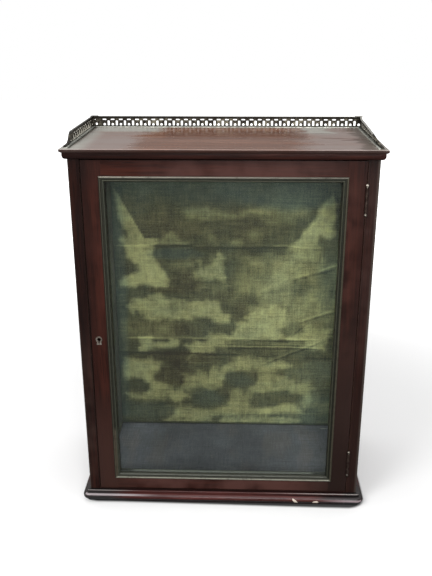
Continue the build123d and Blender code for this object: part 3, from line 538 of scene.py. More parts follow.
def baseFrontFinish(name="base_moulding_front"):
    material = newMaterial("mahogany." + name)
    tone, look = woodTones["base"], baseLook
    inputs = woodFinish(tone, *woodColour(tone, "x", boardShift(name)))
    x, y, z = axes()
    heights, alongX = look["crease"]
    # painted shade low on the round and in the crease over it
    paintedShade = larger(ramp(z, *look["low"]), band(z, *heights) * ramp(x, *alongX))
    colour = mixed(paintedShade, inputs["Base Color"], look["shadeAndGrime"])
    left, right, strength = look["ends"]
    colour = mixed(larger(ramp(x, *left), ramp(x, *right)) * strength, colour, woodLook["neutral"])
    for tint, heights, alongX in look["bands"]:
        colour = mixed(band(z, *heights) * ramp(x, *alongX), colour, tint)
    # painted shade on the shelf's top beside the gap, then a painted highlight on its edge
    high, back = ramp(z, *look["shelf"]), inwards(name, "front")
    colour = mixed(high * ramp(back, *look["shelfTop"]), colour, look["shadeAndGrime"])
    right, left = look["shelfAlong"]
    edge = high * ramp(back, *look["shelfEdge"]) * (ramp(x, *right) + ramp(x, *left))
    colour = mixed(edge, colour, look["rubbedHighlight"])
    ragged = noise(look["chipNoise"])
    for chip in look["chips"]:
        colour = mixed(patch(x, z, chip, ragged), colour, look["chipColour"])
    inputs["Base Color"] = colour
    return finishWith(material, inputs)


dress(["base_moulding_front"], baseFrontFinish())
print("dusty bead, top board and front moulding finished")


# metals

metalLooks = {
    "brassFitting": {"clean": (0.330, 0.265, 0.165), "tarnish": (0.070, 0.052, 0.034), "share": 0.55, "rough": 0.38},
    "darkHinge": {"clean": (0.110, 0.080, 0.066), "tarnish": (0.038, 0.024, 0.020), "share": 0.60, "rough": 0.45},
    "paleTip": {"clean": (0.620, 0.560, 0.480), "tarnish": (0.230, 0.190, 0.150), "share": 0.30, "rough": 0.28},
    "steel": {"clean": (0.400, 0.395, 0.385), "tarnish": (0.120, 0.100, 0.085), "share": 0.40, "rough": 0.35},
    "ring": {"clean": (0.400, 0.360, 0.310), "tarnish": (0.110, 0.086, 0.068), "share": 0.45, "rough": 0.34},
}

metalLook = {
    "patches": (160.0, 4.0, 0.65),
    "speckle": (1400.0, 2.0, 0.6),
    "shares": (0.65, 0.35),           # of patches and of speckle in the tarnish
    "shareReach": 0.3,                # how far a metal's own share moves the middle of the tarnish's edge
    "soft": 0.10,                     # half the width of that edge
    "edge": (0.4 * mm, 0.5),          # width and share of the bright edges
    "tarnishRoughness": 0.22,         # how much rougher the tarnish is
    "relief": (0.05 * mm, 0.5),
}


# Some pins are duller at their lower end: dulling is a height, the height where it stops, and the two gains
def metal(name, dulling=None):
    material = newMaterial("metal." + name)
    look, own = metalLook, metalLooks[name]
    speckle = noise(look["speckle"])
    worn = noise(look["patches"]) * look["shares"][0] + speckle * look["shares"][1]
    middle = 0.5 + (0.5 - own["share"]) * look["shareReach"]
    tarnish = ramp(worn, middle - look["soft"], middle + look["soft"])
    colour = mixed(tarnish, own["clean"], own["tarnish"])
    width, share = look["edge"]
    colour = mixed(edgeMask(width) * share, colour, own["clean"])
    if dulling:
        colour = scaled(colour, ramp(axes()[2], *dulling))
    return finishWith(material, {
        "Base Color": colour,
        "Metallic": 1.0,
        "Roughness": ramp(tarnish, 0.0, 1.0, own["rough"], own["rough"] + look["tarnishRoughness"]),
        "Normal": bump(speckle, *look["relief"]),
    })


dress([n for n in nodes if n.startswith("hinge_") and n.endswith("_leaf")], metal("darkHinge"))
dress(["hinge_upper_pin"], metal("paleTip", (0.512, 0.536, 0.45, 1.0)))
dress(["hinge_lower_pin"], metal("paleTip", (0.066, 0.092, 0.22, 0.50)))
dress(["hinge_case_screws", "hinge_door_screws", "strike_plate", "strike_screws", "lock_case", "lock_cap"],
      metal("brassFitting"))
dress(["keyhole_escutcheon"], metal("ring"))
dress(["back_screws", "glazing_pins", "lock_bolt", "lock_key_post", "lock_screws", "lock_spring"],
      metal("steel"))
print("fittings finished")


# the gallery: dark brass, with painted shade on the rail and at the foot, and painted highlights along the top of
# the rail, on the flange and on the sawn sides of the holes

galleryLook = {
    "clean": (0.175, 0.158, 0.118),
    "dark": (0.022, 0.018, 0.013),
    # painted shade on the rail, then a painted highlight along its top
    "rail": (0.012, 0.010, 0.007),
    "railHighlight": (0.370, 0.360, 0.325),
    # painted shade at the foot, and below it the flange with its painted highlight
    "foot": (0.012, 0.012, 0.009),
    "flange": (0.110, 0.110, 0.088),
    "flangeHighlight": (0.800, 0.810, 0.730),
    # painted highlight on the sawn sides of the holes
    "sawnHighlight": (0.700, 0.670, 0.580),           # the sawn sides of the holes in the end strips
    "patches": (120.0, 4.0, 0.65),
    "speckle": (1500.0, 2.0, 0.6),
    "darkRange": (0.32, 0.56),
    "cutFacing": (0.6, 0.9, 0.0, 0.9),      # by how much a face looks along y
    "cutStart": (-0.070, -0.058),           # y where the sawn sides begin, behind the front sweeps
    # down from the head: where each ends and is full, and its greatest share
    "railDepth": (4.0 * mm, 3.4 * mm, 0.0, 0.95),
    "topDepth": (0.6 * mm, 0.3 * mm),
    "topAlong": (-0.10, 0.02, 0.25, 0.9),   # along x
    # up from the foot
    "footDepth": (2.6 * mm, 1.0 * mm, 0.0, 0.9),
    "flangeDepth": (1.0 * mm, 0.7 * mm),
    "flangePatches": (0.30, 0.60, 1.0, 0.55),
    # where the flange gets a painted highlight: along y on the back strip, along x on the end strips
    "backShine": (0.1105, 0.1090),
    "leftShine": (-0.2222, -0.2238),
    "rightShine": (0.200, 0.210, 0.2224, 0.2236),
    "metallic": 0.45,
    "specular": 0.25,
    "roughness": (0.3, 0.7, 0.36, 0.58),
    "relief": (0.06 * mm, 0.6),
}


# Old brass, rougher where its patches are dark, with a fine speckled relief
def brassShader(material, look, colour, patches):
    return finishWith(material, {
        "Base Color": colour,
        "Metallic": look["metallic"],
        "Specular IOR Level": look["specular"],
        "Roughness": ramp(patches, *look["roughness"]),
        "Normal": bump(noise(look["speckle"]), *look["relief"]),
    })


# The height comes from z, or from an attribute on a piece that has been bent
def galleryFinish(name, ends=True, heights=None):
    material = newMaterial("brass." + name)
    look = galleryLook
    x, y, z = axes()
    if heights:
        z = attribute(heights)
    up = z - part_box("top_board")[1].z
    down = (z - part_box("gallery_back")[1].z) * -1.0
    patches = noise(look["patches"])
    colour = mixed(ramp(patches, *look["darkRange"]), look["clean"], look["dark"])
    if ends:
        # painted highlight on the sawn sides of the holes
        facing = abs(split(outOf("NewGeometry", {}, "Normal"))[1])
        sawn = ramp(facing, *look["cutFacing"]) * ramp(y, *look["cutStart"])
        colour = mixed(sawn, colour, look["sawnHighlight"])
    # painted shade on the rail, then a painted highlight along its top
    colour = mixed(ramp(down, *look["railDepth"]), colour, look["rail"])
    above = ramp(down, *look["topDepth"]) * ramp(x, *look["topAlong"])
    colour = mixed(above, colour, look["railHighlight"])
    # painted shade at the foot
    colour = mixed(ramp(up, *look["footDepth"]), colour, look["foot"])
    # painted highlight on the flange where it shines
    shine = ramp(y, *look["backShine"])
    if ends:
        shine = larger(ramp(x, *look["leftShine"]), band(x, *look["rightShine"]))
    flange = ramp(up, *look["flangeDepth"]) * ramp(patches, *look["flangePatches"])
    colour = mixed(flange, colour, mixed(shine, look["flange"], look["flangeHighlight"]))
    return brassShader(material, look, colour, patches)


# The right-hand end strip has been knocked: it leans inwards, hardly at the back corner and most at its front end.
# Every point above the flange turns about the strip's foot, by an angle that grows towards the front
leanLook = {
    "places": [-100.0, -80.0, -60.0, -40.0, -20.0, 0.0, 20.0, 40.0, 60.0, 80.0, 100.0, 113.0],    # y in millimetres
    "degrees": [38.0, 35.0, 32.5, 30.0, 27.0, 24.5, 22.0, 19.5, 17.5, 15.0, 7.0, 1.0],
    "step": 12.0 * mm,                # between the cuts that let it bend
    "hinge": (1.5 * mm, 0.8 * mm),    # in from its outer face and up from the top board
}


def leaningStrip():
    shape = bmesh.new()
    shape.from_mesh(nodes["gallery_right"].data)
    shape.transform(nodes["gallery_right"].matrix_world)
    bmesh.ops.remove_doubles(shape, verts=shape.verts, dist=1e-6)
    low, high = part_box("gallery_right")
    for y in np.arange(low.y + leanLook["step"], high.y, leanLook["step"]):
        everything = shape.verts[:] + shape.edges[:] + shape.faces[:]
        bmesh.ops.bisect_plane(shape, geom=everything, plane_co=(0.0, y, 0.0), plane_no=(0.0, 1.0, 0.0))
    mesh = bpy.data.meshes.new("gallery_right_leaning")
    shape.to_mesh(mesh)
    shape.free()
    points = np.empty(len(mesh.vertices) * 3, np.float32)
    mesh.vertices.foreach_get("co", points)
    points = points.reshape(-1, 3).astype(float)
    height = mesh.attributes.new("height", "FLOAT", "POINT")
    height.data.foreach_set("value", points[:, 2].astype(np.float32))
    hingeX = high.x - leanLook["hinge"][0]
    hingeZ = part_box("top_board")[1].z + leanLook["hinge"][1]
    turn = np.radians(np.interp(points[:, 1] / mm, leanLook["places"], leanLook["degrees"]))
    out, up = points[:, 0] - hingeX, points[:, 2] - hingeZ
    above = up > 1e-5
    points[:, 0] = np.where(above, hingeX + out * np.cos(turn) - up * np.sin(turn), points[:, 0])
    points[:, 2] = np.where(above, hingeZ + up * np.cos(turn) + out * np.sin(turn), points[:, 2])
    mesh.vertices.foreach_set("co", points.astype(np.float32).ravel())
    mesh.update()
    mesh.materials.clear()
    return newObject("gallery_right_leaning", mesh)


dress(["gallery_back", "gallery_corner_caps", "gallery_pins"], galleryFinish("gallery_back", ends=False))
dress(["gallery_left", "gallery_right"], galleryFinish("gallery_ends"))
strip = leaningStrip()
strip.data.materials.append(galleryFinish("gallery_leaning", heights="height"))
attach(strip, "case")
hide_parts("gallery_right")
print("gallery finished")


# the brass bead round the glass, the top painted lit and the sides painted shaded, and dark down in its hollow,
# painted shade and dirt

beadLook = {
    # dirt, and painted shade down in the hollow and along the left side's edge
    "dirt": (0.016, 0.017, 0.011),
    "dirtDepth": (0.3 * mm, 1.3 * mm),      # behind the door's face, where it starts and is full
    "dirtPatches": (0.52, 0.75, 0.0, 0.6),
    "patches": (90.0, 4.0, 0.7),
    "speckle": (1200.0, 2.0, 0.6),
    "innerStart": (3.4 * mm, 4.2 * mm),     # in from the bead's edge, where the outer round gives way to the inner
    # colours of the outer and the inner round on each side, painted lighter on the top and darker on the sides for
    # the light they get, and how dark the hollow is, painted shade and dirt
    "top": ((0.215, 0.200, 0.165), (0.055, 0.055, 0.037), 0.92),
    "bottom": ((0.180, 0.180, 0.145), (0.085, 0.088, 0.074), 0.45),
    "left": ((0.078, 0.075, 0.054), (0.062, 0.066, 0.048), 0.70),
    "right": ((0.080, 0.072, 0.049), (0.062, 0.064, 0.044), 0.92),
    # the top's painted highlight dims towards its right end
    "topDull": (-0.14, 0.17, 0.0, 0.50),    # the top side is duller towards its right end
    # the left side: its outer round is wider, with a painted shade line at the edge, and paler near the bottom
    "leftStart": (4.2 * mm, 5.0 * mm),
    "leftLine": (2.3 * mm, 1.3 * mm, 0.0, 0.88),
    "leftClean": (0.125, 0.108, 0.076),
    "leftCleanHeight": (0.142, 0.130),
    "leftCleanDepth": (6.4 * mm, 5.0 * mm),
    "leftCleanDirt": -0.78,                 # dirt taken off there
    "metallic": 0.7,
    "specular": 0.5,
    "roughness": (0.3, 0.7, 0.36, 0.58),
    "relief": (0.05 * mm, 0.5),
}


def beadFinish(side):
    material = newMaterial("brass.bead_" + side)
    look = beadLook
    outer, inner, dirtShare = look[side]
    x, y, z = axes()
    depth = inwards("brass_bead_" + side, side)
    clean = mixed(ramp(depth, *look["leftStart" if side == "left" else "innerStart"]), outer, inner)
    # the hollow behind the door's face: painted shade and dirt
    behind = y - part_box("door_stile_lock")[0].y
    dirt = ramp(behind, *look["dirtDepth"]) * dirtShare
    if side == "left":
        low = ramp(z, *look["leftCleanHeight"])
        clean = mixed(low * ramp(depth, *look["leftCleanDepth"]), clean, look["leftClean"])
        clean = mixed(ramp(depth, *look["leftLine"]), clean, look["dirt"])
        dirt = dirt * (low * look["leftCleanDirt"] + 1.0)
    if side == "top":
        clean = mixed(ramp(x, *look["topDull"], kind="LINEAR"), clean, look["dirt"])
    patches = noise(look["patches"])
    dirt = larger(dirt, ramp(patches, *look["dirtPatches"]))
    return brassShader(material, look, mixed(dirt, clean, look["dirt"]), patches)


for side in ("left", "right", "top", "bottom"):
    dress(["brass_bead_" + side], beadFinish(side))


# glass: a thin clear pane with a soft mirror and a little dust

glassLook = {
    "tint": (0.955, 0.975, 0.960),
    "mirrorIor": 1.22,
    "mirrorRoughness": 0.03,
    "waves": ((14.0, 1.0), (1.0, 1.0, 0.35)),       # a noise with its stretch
    "waveRelief": (0.4 * mm, 0.3),
    "smears": ((12.0, 4.0, 0.65), (1.0, 1.0, 0.5)),
    "dust": (0.3, 0.75, 0.0012, 0.0064),            # range of the smears, least and most dust
    "dustColour": (0.55, 0.56, 0.54),
}


def glassFinish():
    material = newMaterial("glass.pane")
    look = glassLook
    clear = outOf("BsdfTransparent", {"Color": look["tint"]})
    waves = bump(noise(*look["waves"]), *look["waveRelief"])
    inputs = {"Color": white, "Roughness": look["mirrorRoughness"], "Normal": waves}
    share = outOf("Fresnel", {"IOR": look["mirrorIor"]})
    pane = outOf("MixShader", {0: share, 1: clear, 2: outOf("BsdfGlossy", inputs)})
    dusty = ramp(noise(*look["smears"]), *look["dust"])
    dust = outOf("BsdfDiffuse", {"Color": look["dustColour"]})
    addNode("OutputMaterial", {"Surface": outOf("MixShader", {0: dusty, 1: pane, 2: dust})})
    return material


dress(["glass_pane"], glassFinish())
print("bead and glass finished")


# cloth linings

clothLook = {
    "sheetThick": 0.8 * mm,
    "backGrid": (2.6, 1.9),              # steps in millimetres, across and up
    "plainGrid": 3.0,
    "brownDark": (0.055, 0.045, 0.027),
    "oliveDark": (0.056, 0.059, 0.037),
    "coldDark": (0.080, 0.107, 0.092),
    "warmPale": (0.545, 0.525, 0.240),
    "coldPale": (0.455, 0.520, 0.305),
    # painted light: the cloth is lighter towards the right to make up for the shade there
    "gain": (0.05, 0.19, 0.86, 1.42),    # x where the cloth starts to be lighter and where it ends, the two gains
    "fluff": (360.0, 3.0, 0.7),
    "warp": (560.0, 2.0, 0.6),
    "weft": (460.0, 2.0, 0.6),
    "streakShare": 0.55,                 # the rest of the roughness comes from the fluff
    "swing": (0.0, 0.6, 0.75, 2.3),      # pale cloth shows its threads more
    # tones between which the dark goes from brown to olive, then to cold, and the pale from warm to cold
    "olive": (0.0, 0.4),
    "cold": (0.4, 1.0),
    "paleCold": (0.3, 0.9),
    "roughness": 0.9,
    "specular": 0.15,
    "sheen": 0.08,
    "threadPitch": 0.9 * mm,
    "threadStretch": 0.05,               # how far streaks are drawn out along their threads
    "threadRelief": 0.35,
    "relief": 0.2 * mm,
    "bumpStrength": 0.7,
}

floorLook = {
    "tone": (0.148, 0.155, 0.186),
    "gains": (0.76, 1.35),               # of the tone where it is dull and bright
    "toneRange": (0.45, 1.1),
    "warm": (0.190, 0.172, 0.178),
    "warmNoise": ((22.0, 3.0, 0.6), (1.0, 0.4, 1.0)),    # with its stretch
    "warmRange": (0.48, 0.68, 0.0, 0.5),
    "fluff": (240.0, 3.0, 0.65),
    "fluffShare": 0.4,
    "fluffRelief": 0.6,
    "cloud": (12.0, 3.0, 0.6),
    "cloudShare": 0.6,
    "warp": (480.0, 2.0, 0.6),
    "weft": (420.0, 2.0, 0.6),
    "streakRange": (0.36, 0.64, 0.80, 1.20),
    # gains along x towards the right, and what the left adds; then by how near the back is, painted shade in the
    # back corner
    "right": (0.03, 0.19, 0.86, 1.66),
    "left": (-0.09, -0.18, 0.0, 0.92),
    "back": (0.8 * mm, 3.2 * mm, 0.35, 1.0),
    "thread": (0.1905, 0.0872, 0.0080, 0.0008, 1.0),    # a loose one in the back corner: a patch
    "threadColour": (0.55, 0.60, 0.56),
    "threadNoise": (260.0,),
    "roughness": 0.92,
    "bumpStrength": 0.4,
}


def smoothStep(value, low, high):
    t = np.clip((value - low) / (high - low), 0.0, 1.0)
    return t * t * (3 - 2 * t)


# A start and the changes that smooth steps bring: change, where it begins, where it is full
def stepped(value, start, steps):
    return start + sum(change * smoothStep(value, low, high) for change, low, high in steps)


# Smooth random values: seeded numbers on a square lattice, joined by smooth steps
def softNoise(x, y, size, seed, cells=64):
    table = np.random.default_rng(seed).random((cells, cells))
    gx, gy = np.asarray(x) / size, np.asarray(y) / size
    ix, iy = np.floor(gx).astype(int), np.floor(gy).astype(int)
    fx, fy = smoothStep(gx - ix, 0.0, 1.0), smoothStep(gy - iy, 0.0, 1.0)
    near, far = (table[ix % cells, row % cells] * (1 - fx) + table[(ix + 1) % cells, row % cells] * fx
                 for row in (iy, iy + 1))
    return near * (1 - fy) + far * fy


# Soft noises added up, each from minus to plus half its strength: strength, size, seed
def wavy(x, z, parts, seed=0):
    return sum(strength * (softNoise(x, z, size, seed + own) - 0.5) for strength, size, own in parts)


# A sheet from a grid of points, with a UV map in metres and one number for each point and attribute
def sheetMesh(name, points, uv, attributes):
    rows, columns = points.shape[:2]
    index = np.arange(rows * columns).reshape(rows, columns)
    quads = np.stack([index[:-1, :-1], index[:-1, 1:], index[1:, 1:], index[1:, :-1]], -1).reshape(-1, 4)
    mesh = bpy.data.meshes.new(name)
    mesh.from_pydata(points.reshape(-1, 3).tolist(), [], quads.tolist())
    layer = mesh.uv_layers.new(name="weave")
    layer.data.foreach_set("uv", uv.reshape(-1, 2)[quads.ravel()].astype(np.float32).ravel())
    for key, values in attributes.items():
        values = values.astype(np.float32).ravel()
        mesh.attributes.new(key, "FLOAT", "POINT").data.foreach_set("value", values)
    mesh.shade_smooth()
    piece = newObject(name, mesh)
    solid = piece.modifiers.new("thickness", "SOLIDIFY")
    solid.thickness = clothLook["sheetThick"]
    solid.offset = -1.0
    return piece


# Stains and faded places on the back cloth, laid over each other in this order. Each has the paleness that it
# brings, from 0 to 1, the width of its soft edge, and an outline (x, z), all in millimetres
stains = [
    (0.15, 22, [(-160, 450), (-60, 440), (60, 445), (110, 430), (100, 396), (-120, 394), (-150, 410)]),
    (0.46, 22, [(40, 372), (110, 384), (204, 396), (204, 236), (110, 225), (20, 262), (20, 320)]),
    (0.34, 16, [(-196, 246), (-100, 248), (-92, 214), (-182, 212), (-196, 222)]),
    (0.50, 8, [(-72, 452), (-60, 460), (-20, 458), (0, 451), (24, 452), (40, 461), (62, 461), (84, 460), (84, 448),
        (66, 446), (44, 449), (16, 443), (-30, 442), (-52, 441), (-62, 436), (-68, 444)]),
    (0.40, 10, [(84, 462), (140, 458), (136, 446), (108, 436), (86, 430), (70, 440)]),
    (0.52, 6, [(-136, 395), (-128, 401), (-112, 407), (-101, 416), (-92, 412), (-82, 402), (-72, 396), (-66, 393),
        (-134, 393)]),
    (0.40, 7, [(-46, 416), (-34, 424), (-28, 416), (-18, 402), (-14, 393), (-26, 398), (-32, 406), (-42, 410)]),
    (0.36, 9, [(36, 416), (52, 422), (64, 414), (60, 402), (38, 402)]),
    (0.40, 6, [(10, 398), (26, 404), (32, 396), (24, 392), (12, 393)]),
    (0.10, 7, [(-136, 389), (-60, 390), (60, 389), (120, 386), (104, 378), (60, 376), (22, 378), (-12, 378),
        (-40, 371), (-62, 369), (-108, 362), (-124, 370)]),
    (0.38, 9, [(-100, 350), (-96, 362), (-80, 366), (-58, 364), (-48, 352), (-64, 346), (-84, 343)]),
    (0.80, 6, [(-59, 330), (-58, 340), (-52, 351), (-51, 363), (-47, 364), (-43, 353), (-29, 357), (-26, 366),
        (-16, 368), (-13, 375), (-4, 372), (-3, 358), (-2, 346), (1, 336), (-4, 325), (-16, 328), (-44, 326)]),
    (0.30, 8, [(-50, 318), (-40, 320), (2, 318), (4, 304), (-20, 302), (-52, 308)]),
    (0.70, 8, [(112, 373), (104, 360), (97, 350), (91, 338), (86, 327), (80, 318), (70, 311), (58, 304), (62, 300),
        (80, 308), (98, 315), (112, 320), (116, 332), (117, 352), (119, 372)]),
    (0.72, 8, [(122, 389), (121, 372), (130, 367), (129, 353), (138, 350), (143, 360), (152, 366), (162, 364),
        (168, 378), (166, 390)]),
    (0.58, 5, [(116, 330), (126, 339), (140, 342), (156, 342), (153, 336), (140, 333), (127, 327)]),
    (0.24, 9, [(122, 326), (150, 330), (156, 318), (150, 304), (136, 296), (122, 282), (118, 300), (118, 316)]),
    (0.26, 10, [(172, 344), (204, 346), (204, 304), (192, 300), (186, 312), (176, 326)]),
    (0.22, 8, [(168, 400), (204, 408), (204, 362), (182, 358), (174, 374)]),
    (0.66, 8, [(131, 262), (131, 275), (140, 281), (146, 294), (157, 299), (165, 288), (176, 280), (178, 268),
        (162, 264), (153, 268), (149, 259), (138, 257)]),
    (0.62, 6, [(140, 247), (152, 256), (172, 262), (190, 269), (198, 270), (190, 260), (172, 254), (156, 248)]),
    (0.16, 6, [(8, 247), (6, 262), (3, 279), (12, 287), (38, 283), (41, 262), (39, 247), (20, 245)]),
    (0.14, 7, [(46, 300), (60, 290), (58, 280), (20, 284), (26, 296)]),
    (0.82, 6, [(-180, 274), (-170, 284), (-160, 290), (-142, 288), (-138, 296), (-122, 298), (-111, 294),
        (-104, 287), (-92, 288), (-74, 286), (-62, 281), (-50, 283), (-34, 286), (-15, 286), (-13, 276), (-10, 267),
        (-1, 262), (8, 257), (8, 241), (-6, 240), (-20, 242), (-27, 251), (-40, 253), (-57, 253), (-62, 246),
        (-76, 248), (-94, 246), (-118, 246), (-127, 250), (-140, 246), (-153, 248), (-151, 256), (-157, 264),
        (-166, 268), (-171, 261), (-175, 268)]),
    (0.60, 9, [(-118, 284), (-80, 284), (-66, 276), (-70, 262), (-92, 258), (-116, 262)]),
    (0.12, 6, [(-93, 245), (-62, 242), (-52, 250), (-36, 250), (-26, 241), (-8, 238), (5, 239), (15, 230),
        (17, 218), (-20, 215), (-60, 216), (-93, 214)]),
    (0.96, 6, [(17, 244), (40, 246), (39, 254), (44, 261), (56, 265), (64, 271), (84, 275), (110, 268), (116, 256),
        (117, 240), (110, 233), (103, 226), (109, 219), (100, 213), (60, 210), (20, 211), (14, 216), (19, 226),
        (24, 236)]),
    (0.74, 7, [(126, 221), (145, 225), (146, 240), (152, 243), (157, 228), (176, 226), (192, 230), (194, 214),
        (187, 204), (184, 191), (150, 191), (140, 200), (118, 207), (110, 214)]),
    (0.24, 7, [(102, 228), (112, 236), (126, 242), (142, 240), (144, 226), (124, 222), (112, 218)]),
    (0.82, 5, [(-162, 212), (-138, 212), (-137, 203), (-112, 204), (-92, 205), (-89, 197), (-94, 191), (-112, 190),
        (-130, 188), (-142, 184), (-150, 181), (-163, 181), (-159, 194)]),
    (0.72, 5, [(-58, 207), (-38, 203), (-34, 211), (-30, 218), (0, 219), (14, 213), (100, 211), (100, 208),
        (30, 204), (4, 204), (0, 196), (20, 195), (0, 192), (-18, 190), (-19, 181), (-40, 178), (-61, 178),
        (-73, 166), (-66, 175), (-64, 186), (-76, 194), (-60, 199)]),
    (0.30, 6, [(0, 205), (60, 204), (150, 205), (150, 198), (60, 198), (0, 199)]),
    (0.16, 6, [(0, 192), (60, 191), (100, 190), (150, 189), (140, 180), (60, 180), (0, 179)]),
    (0.05, 6, [(-200, 178), (-160, 180), (-128, 184), (-100, 188), (-74, 189), (-64, 178), (-76, 168), (-70, 160),
        (-60, 150), (-40, 146), (-28, 149), (-27, 160), (-46, 166), (-50, 176), (-30, 160), (-66, 148), (-88, 146),
        (-100, 150), (-120, 162), (-150, 168), (-176, 170), (-200, 166)]),
    (0.80, 7, [(-202, 152), (-186, 163), (-174, 169), (-158, 163), (-142, 167), (-136, 160), (-124, 158),
        (-121, 147), (-126, 140), (-136, 134), (-139, 124), (-130, 118), (-114, 114), (-100, 104), (-92, 99),
        (-84, 101), (-72, 93), (-69, 86), (-80, 80), (-97, 75), (-102, 82), (-110, 87), (-118, 79), (-140, 78),
        (-160, 79), (-182, 80), (-190, 93), (-160, 90), (-151, 96), (-147, 105), (-150, 114), (-160, 124),
        (-176, 128), (-186, 119), (-192, 130), (-199, 140)]),
    (0.08, 6, [(-122, 152), (-100, 148), (-87, 136), (-81, 126), (-75, 112), (-90, 110), (-110, 115), (-132, 123),
        (-134, 133), (-124, 140)]),
    (0.08, 6, [(-194, 118), (-178, 124), (-160, 120), (-149, 112), (-145, 103), (-160, 98), (-172, 103),
        (-190, 104)]),
    (0.58, 7, [(-80, 134), (-64, 135), (-54, 141), (-44, 143), (-38, 138), (-30, 130), (-26, 140), (-20, 149),
        (-15, 142), (-5, 140), (-2, 128), (-6, 112), (-12, 103), (-30, 101), (-44, 108), (-56, 104), (-70, 98),
        (-85, 104), (-76, 116)]),
    (0.74, 7, [(-31, 130), (-26, 141), (-20, 149), (-15, 142), (-6, 140), (-3, 128), (-7, 112), (-28, 114)]),
    (0.70, 7, [(-8, 148), (2, 152), (10, 160), (18, 167), (34, 173), (50, 175), (62, 175), (70, 166), (80, 159),
        (88, 166), (100, 165), (118, 163), (127, 154), (116, 149), (100, 145), (84, 146), (70, 141), (56, 146),
        (40, 144), (16, 141), (0, 143)]),
    (0.22, 8, [(112, 140), (128, 151), (136, 160), (152, 164), (176, 160), (204, 162), (204, 120), (180, 118),
        (166, 124), (140, 125), (120, 132)]),
    (0.66, 7, [(50, 112), (58, 120), (66, 128), (64, 136), (84, 139), (92, 133), (112, 131), (122, 125), (140, 119),
        (158, 122), (166, 116), (172, 104), (164, 98), (170, 84), (160, 72), (154, 64), (146, 74), (150, 92),
        (140, 98), (124, 98), (112, 104), (96, 100), (76, 98), (60, 92), (50, 90), (46, 100)]),
    (0.40, 6, [(86, 134), (84, 124), (92, 112), (100, 112), (98, 124), (94, 134)]),
    (0.08, 6, [(-4, 111), (2, 120), (4, 132), (10, 138), (28, 142), (44, 140), (57, 130), (59, 116), (46, 111),
        (30, 106), (14, 108)]),
    (0.50, 7, [(6, 62), (8, 90), (12, 103), (22, 108), (30, 100), (34, 88), (42, 94), (48, 106), (50, 80),
        (44, 64)]),
    (0.66, 7, [(-96, 60), (-84, 65), (-60, 62), (-30, 60), (-12, 64), (0, 67), (14, 78), (20, 84), (30, 79),
        (44, 77), (52, 66), (80, 66), (96, 70), (114, 76), (136, 70), (152, 62), (150, 52), (136, 48), (100, 50),
        (60, 46), (30, 46), (0, 44), (-16, 50), (-40, 44), (-60, 38), (-100, 36), (-108, 42), (-100, 50)]),
    (0.86, 7, [(50, 70), (80, 68), (100, 70), (114, 75), (132, 70), (138, 60), (110, 54), (62, 54)]),
    (0.58, 5, [(-122, 36), (-104, 44), (-88, 40), (-70, 42), (-52, 44), (-32, 44), (-28, 35), (-60, 34), (-88, 30),
        (-122, 30)]),
    (0.68, 5, [(-10, 33), (0, 44), (20, 44), (60, 42), (110, 44), (146, 41), (152, 30), (100, 28), (40, 29),
        (0, 30)]),
    (0.07, 6, [(-64, 90), (-52, 100), (-40, 104), (-28, 100), (-18, 92), (-8, 86), (5, 96), (11, 84), (-3, 78),
        (-8, 66), (-30, 62), (-60, 65), (-65, 78)]),
    (0.16, 6, [(50, 70), (50, 80), (60, 86), (76, 93), (84, 100), (104, 99), (120, 94), (140, 92), (148, 84),
        (138, 78), (120, 76), (104, 74), (90, 68), (70, 66), (56, 66)]),
    (0.10, 7, [(-202, 70), (-170, 75), (-140, 76), (-122, 74), (-104, 72), (-98, 62), (-100, 50), (-112, 44),
        (-126, 34), (-160, 29), (-202, 29)]),
    (0.12, 6, [(152, 30), (150, 44), (160, 53), (176, 58), (204, 62), (204, 28)]),
    (0.30, 7, [(166, 104), (178, 100), (190, 84), (204, 82), (204, 60), (178, 58), (164, 72), (170, 86)]),
]

# Brown, rusty places (x, z, half width, half height, strength) and cold blue-green ones, in millimetres
brownPlaces = [(-104, 428, 60, 22, 0.8), (-70, 416, 24, 16, 0.6), (30, 424, 70, 26, 0.5), (-96, 170, 70, 14, 1.0),
               (-104, 132, 36, 22, 1.0), (-120, 230, 50, 18, 0.9), (-74, 320, 30, 20, 0.6), (-110, 306, 30, 6, 0.8),
               (-60, 128, 34, 20, 0.4), (76, 136, 30, 14, 0.7), (30, 262, 14, 18, 0.5), (70, 352, 30, 16, 0.3)]
coldPlaces = [(0, 520, 300, 46, 0.9), (110, 484, 80, 26, 0.8), (150, 420, 70, 26, 0.1), (196, 330, 24, 110, 0.35),
              (186, 60, 40, 44, 0.6), (-198, 300, 16, 260, 0.8), (-34, 84, 30, 18, 0.4), (24, 126, 30, 14, 0.35),
              (180, 140, 40, 26, 0.3), (-150, 56, 60, 18, 0.4), (-90, 376, 50, 10, 0.5), (100, 40, 110, 12, 0.3)]

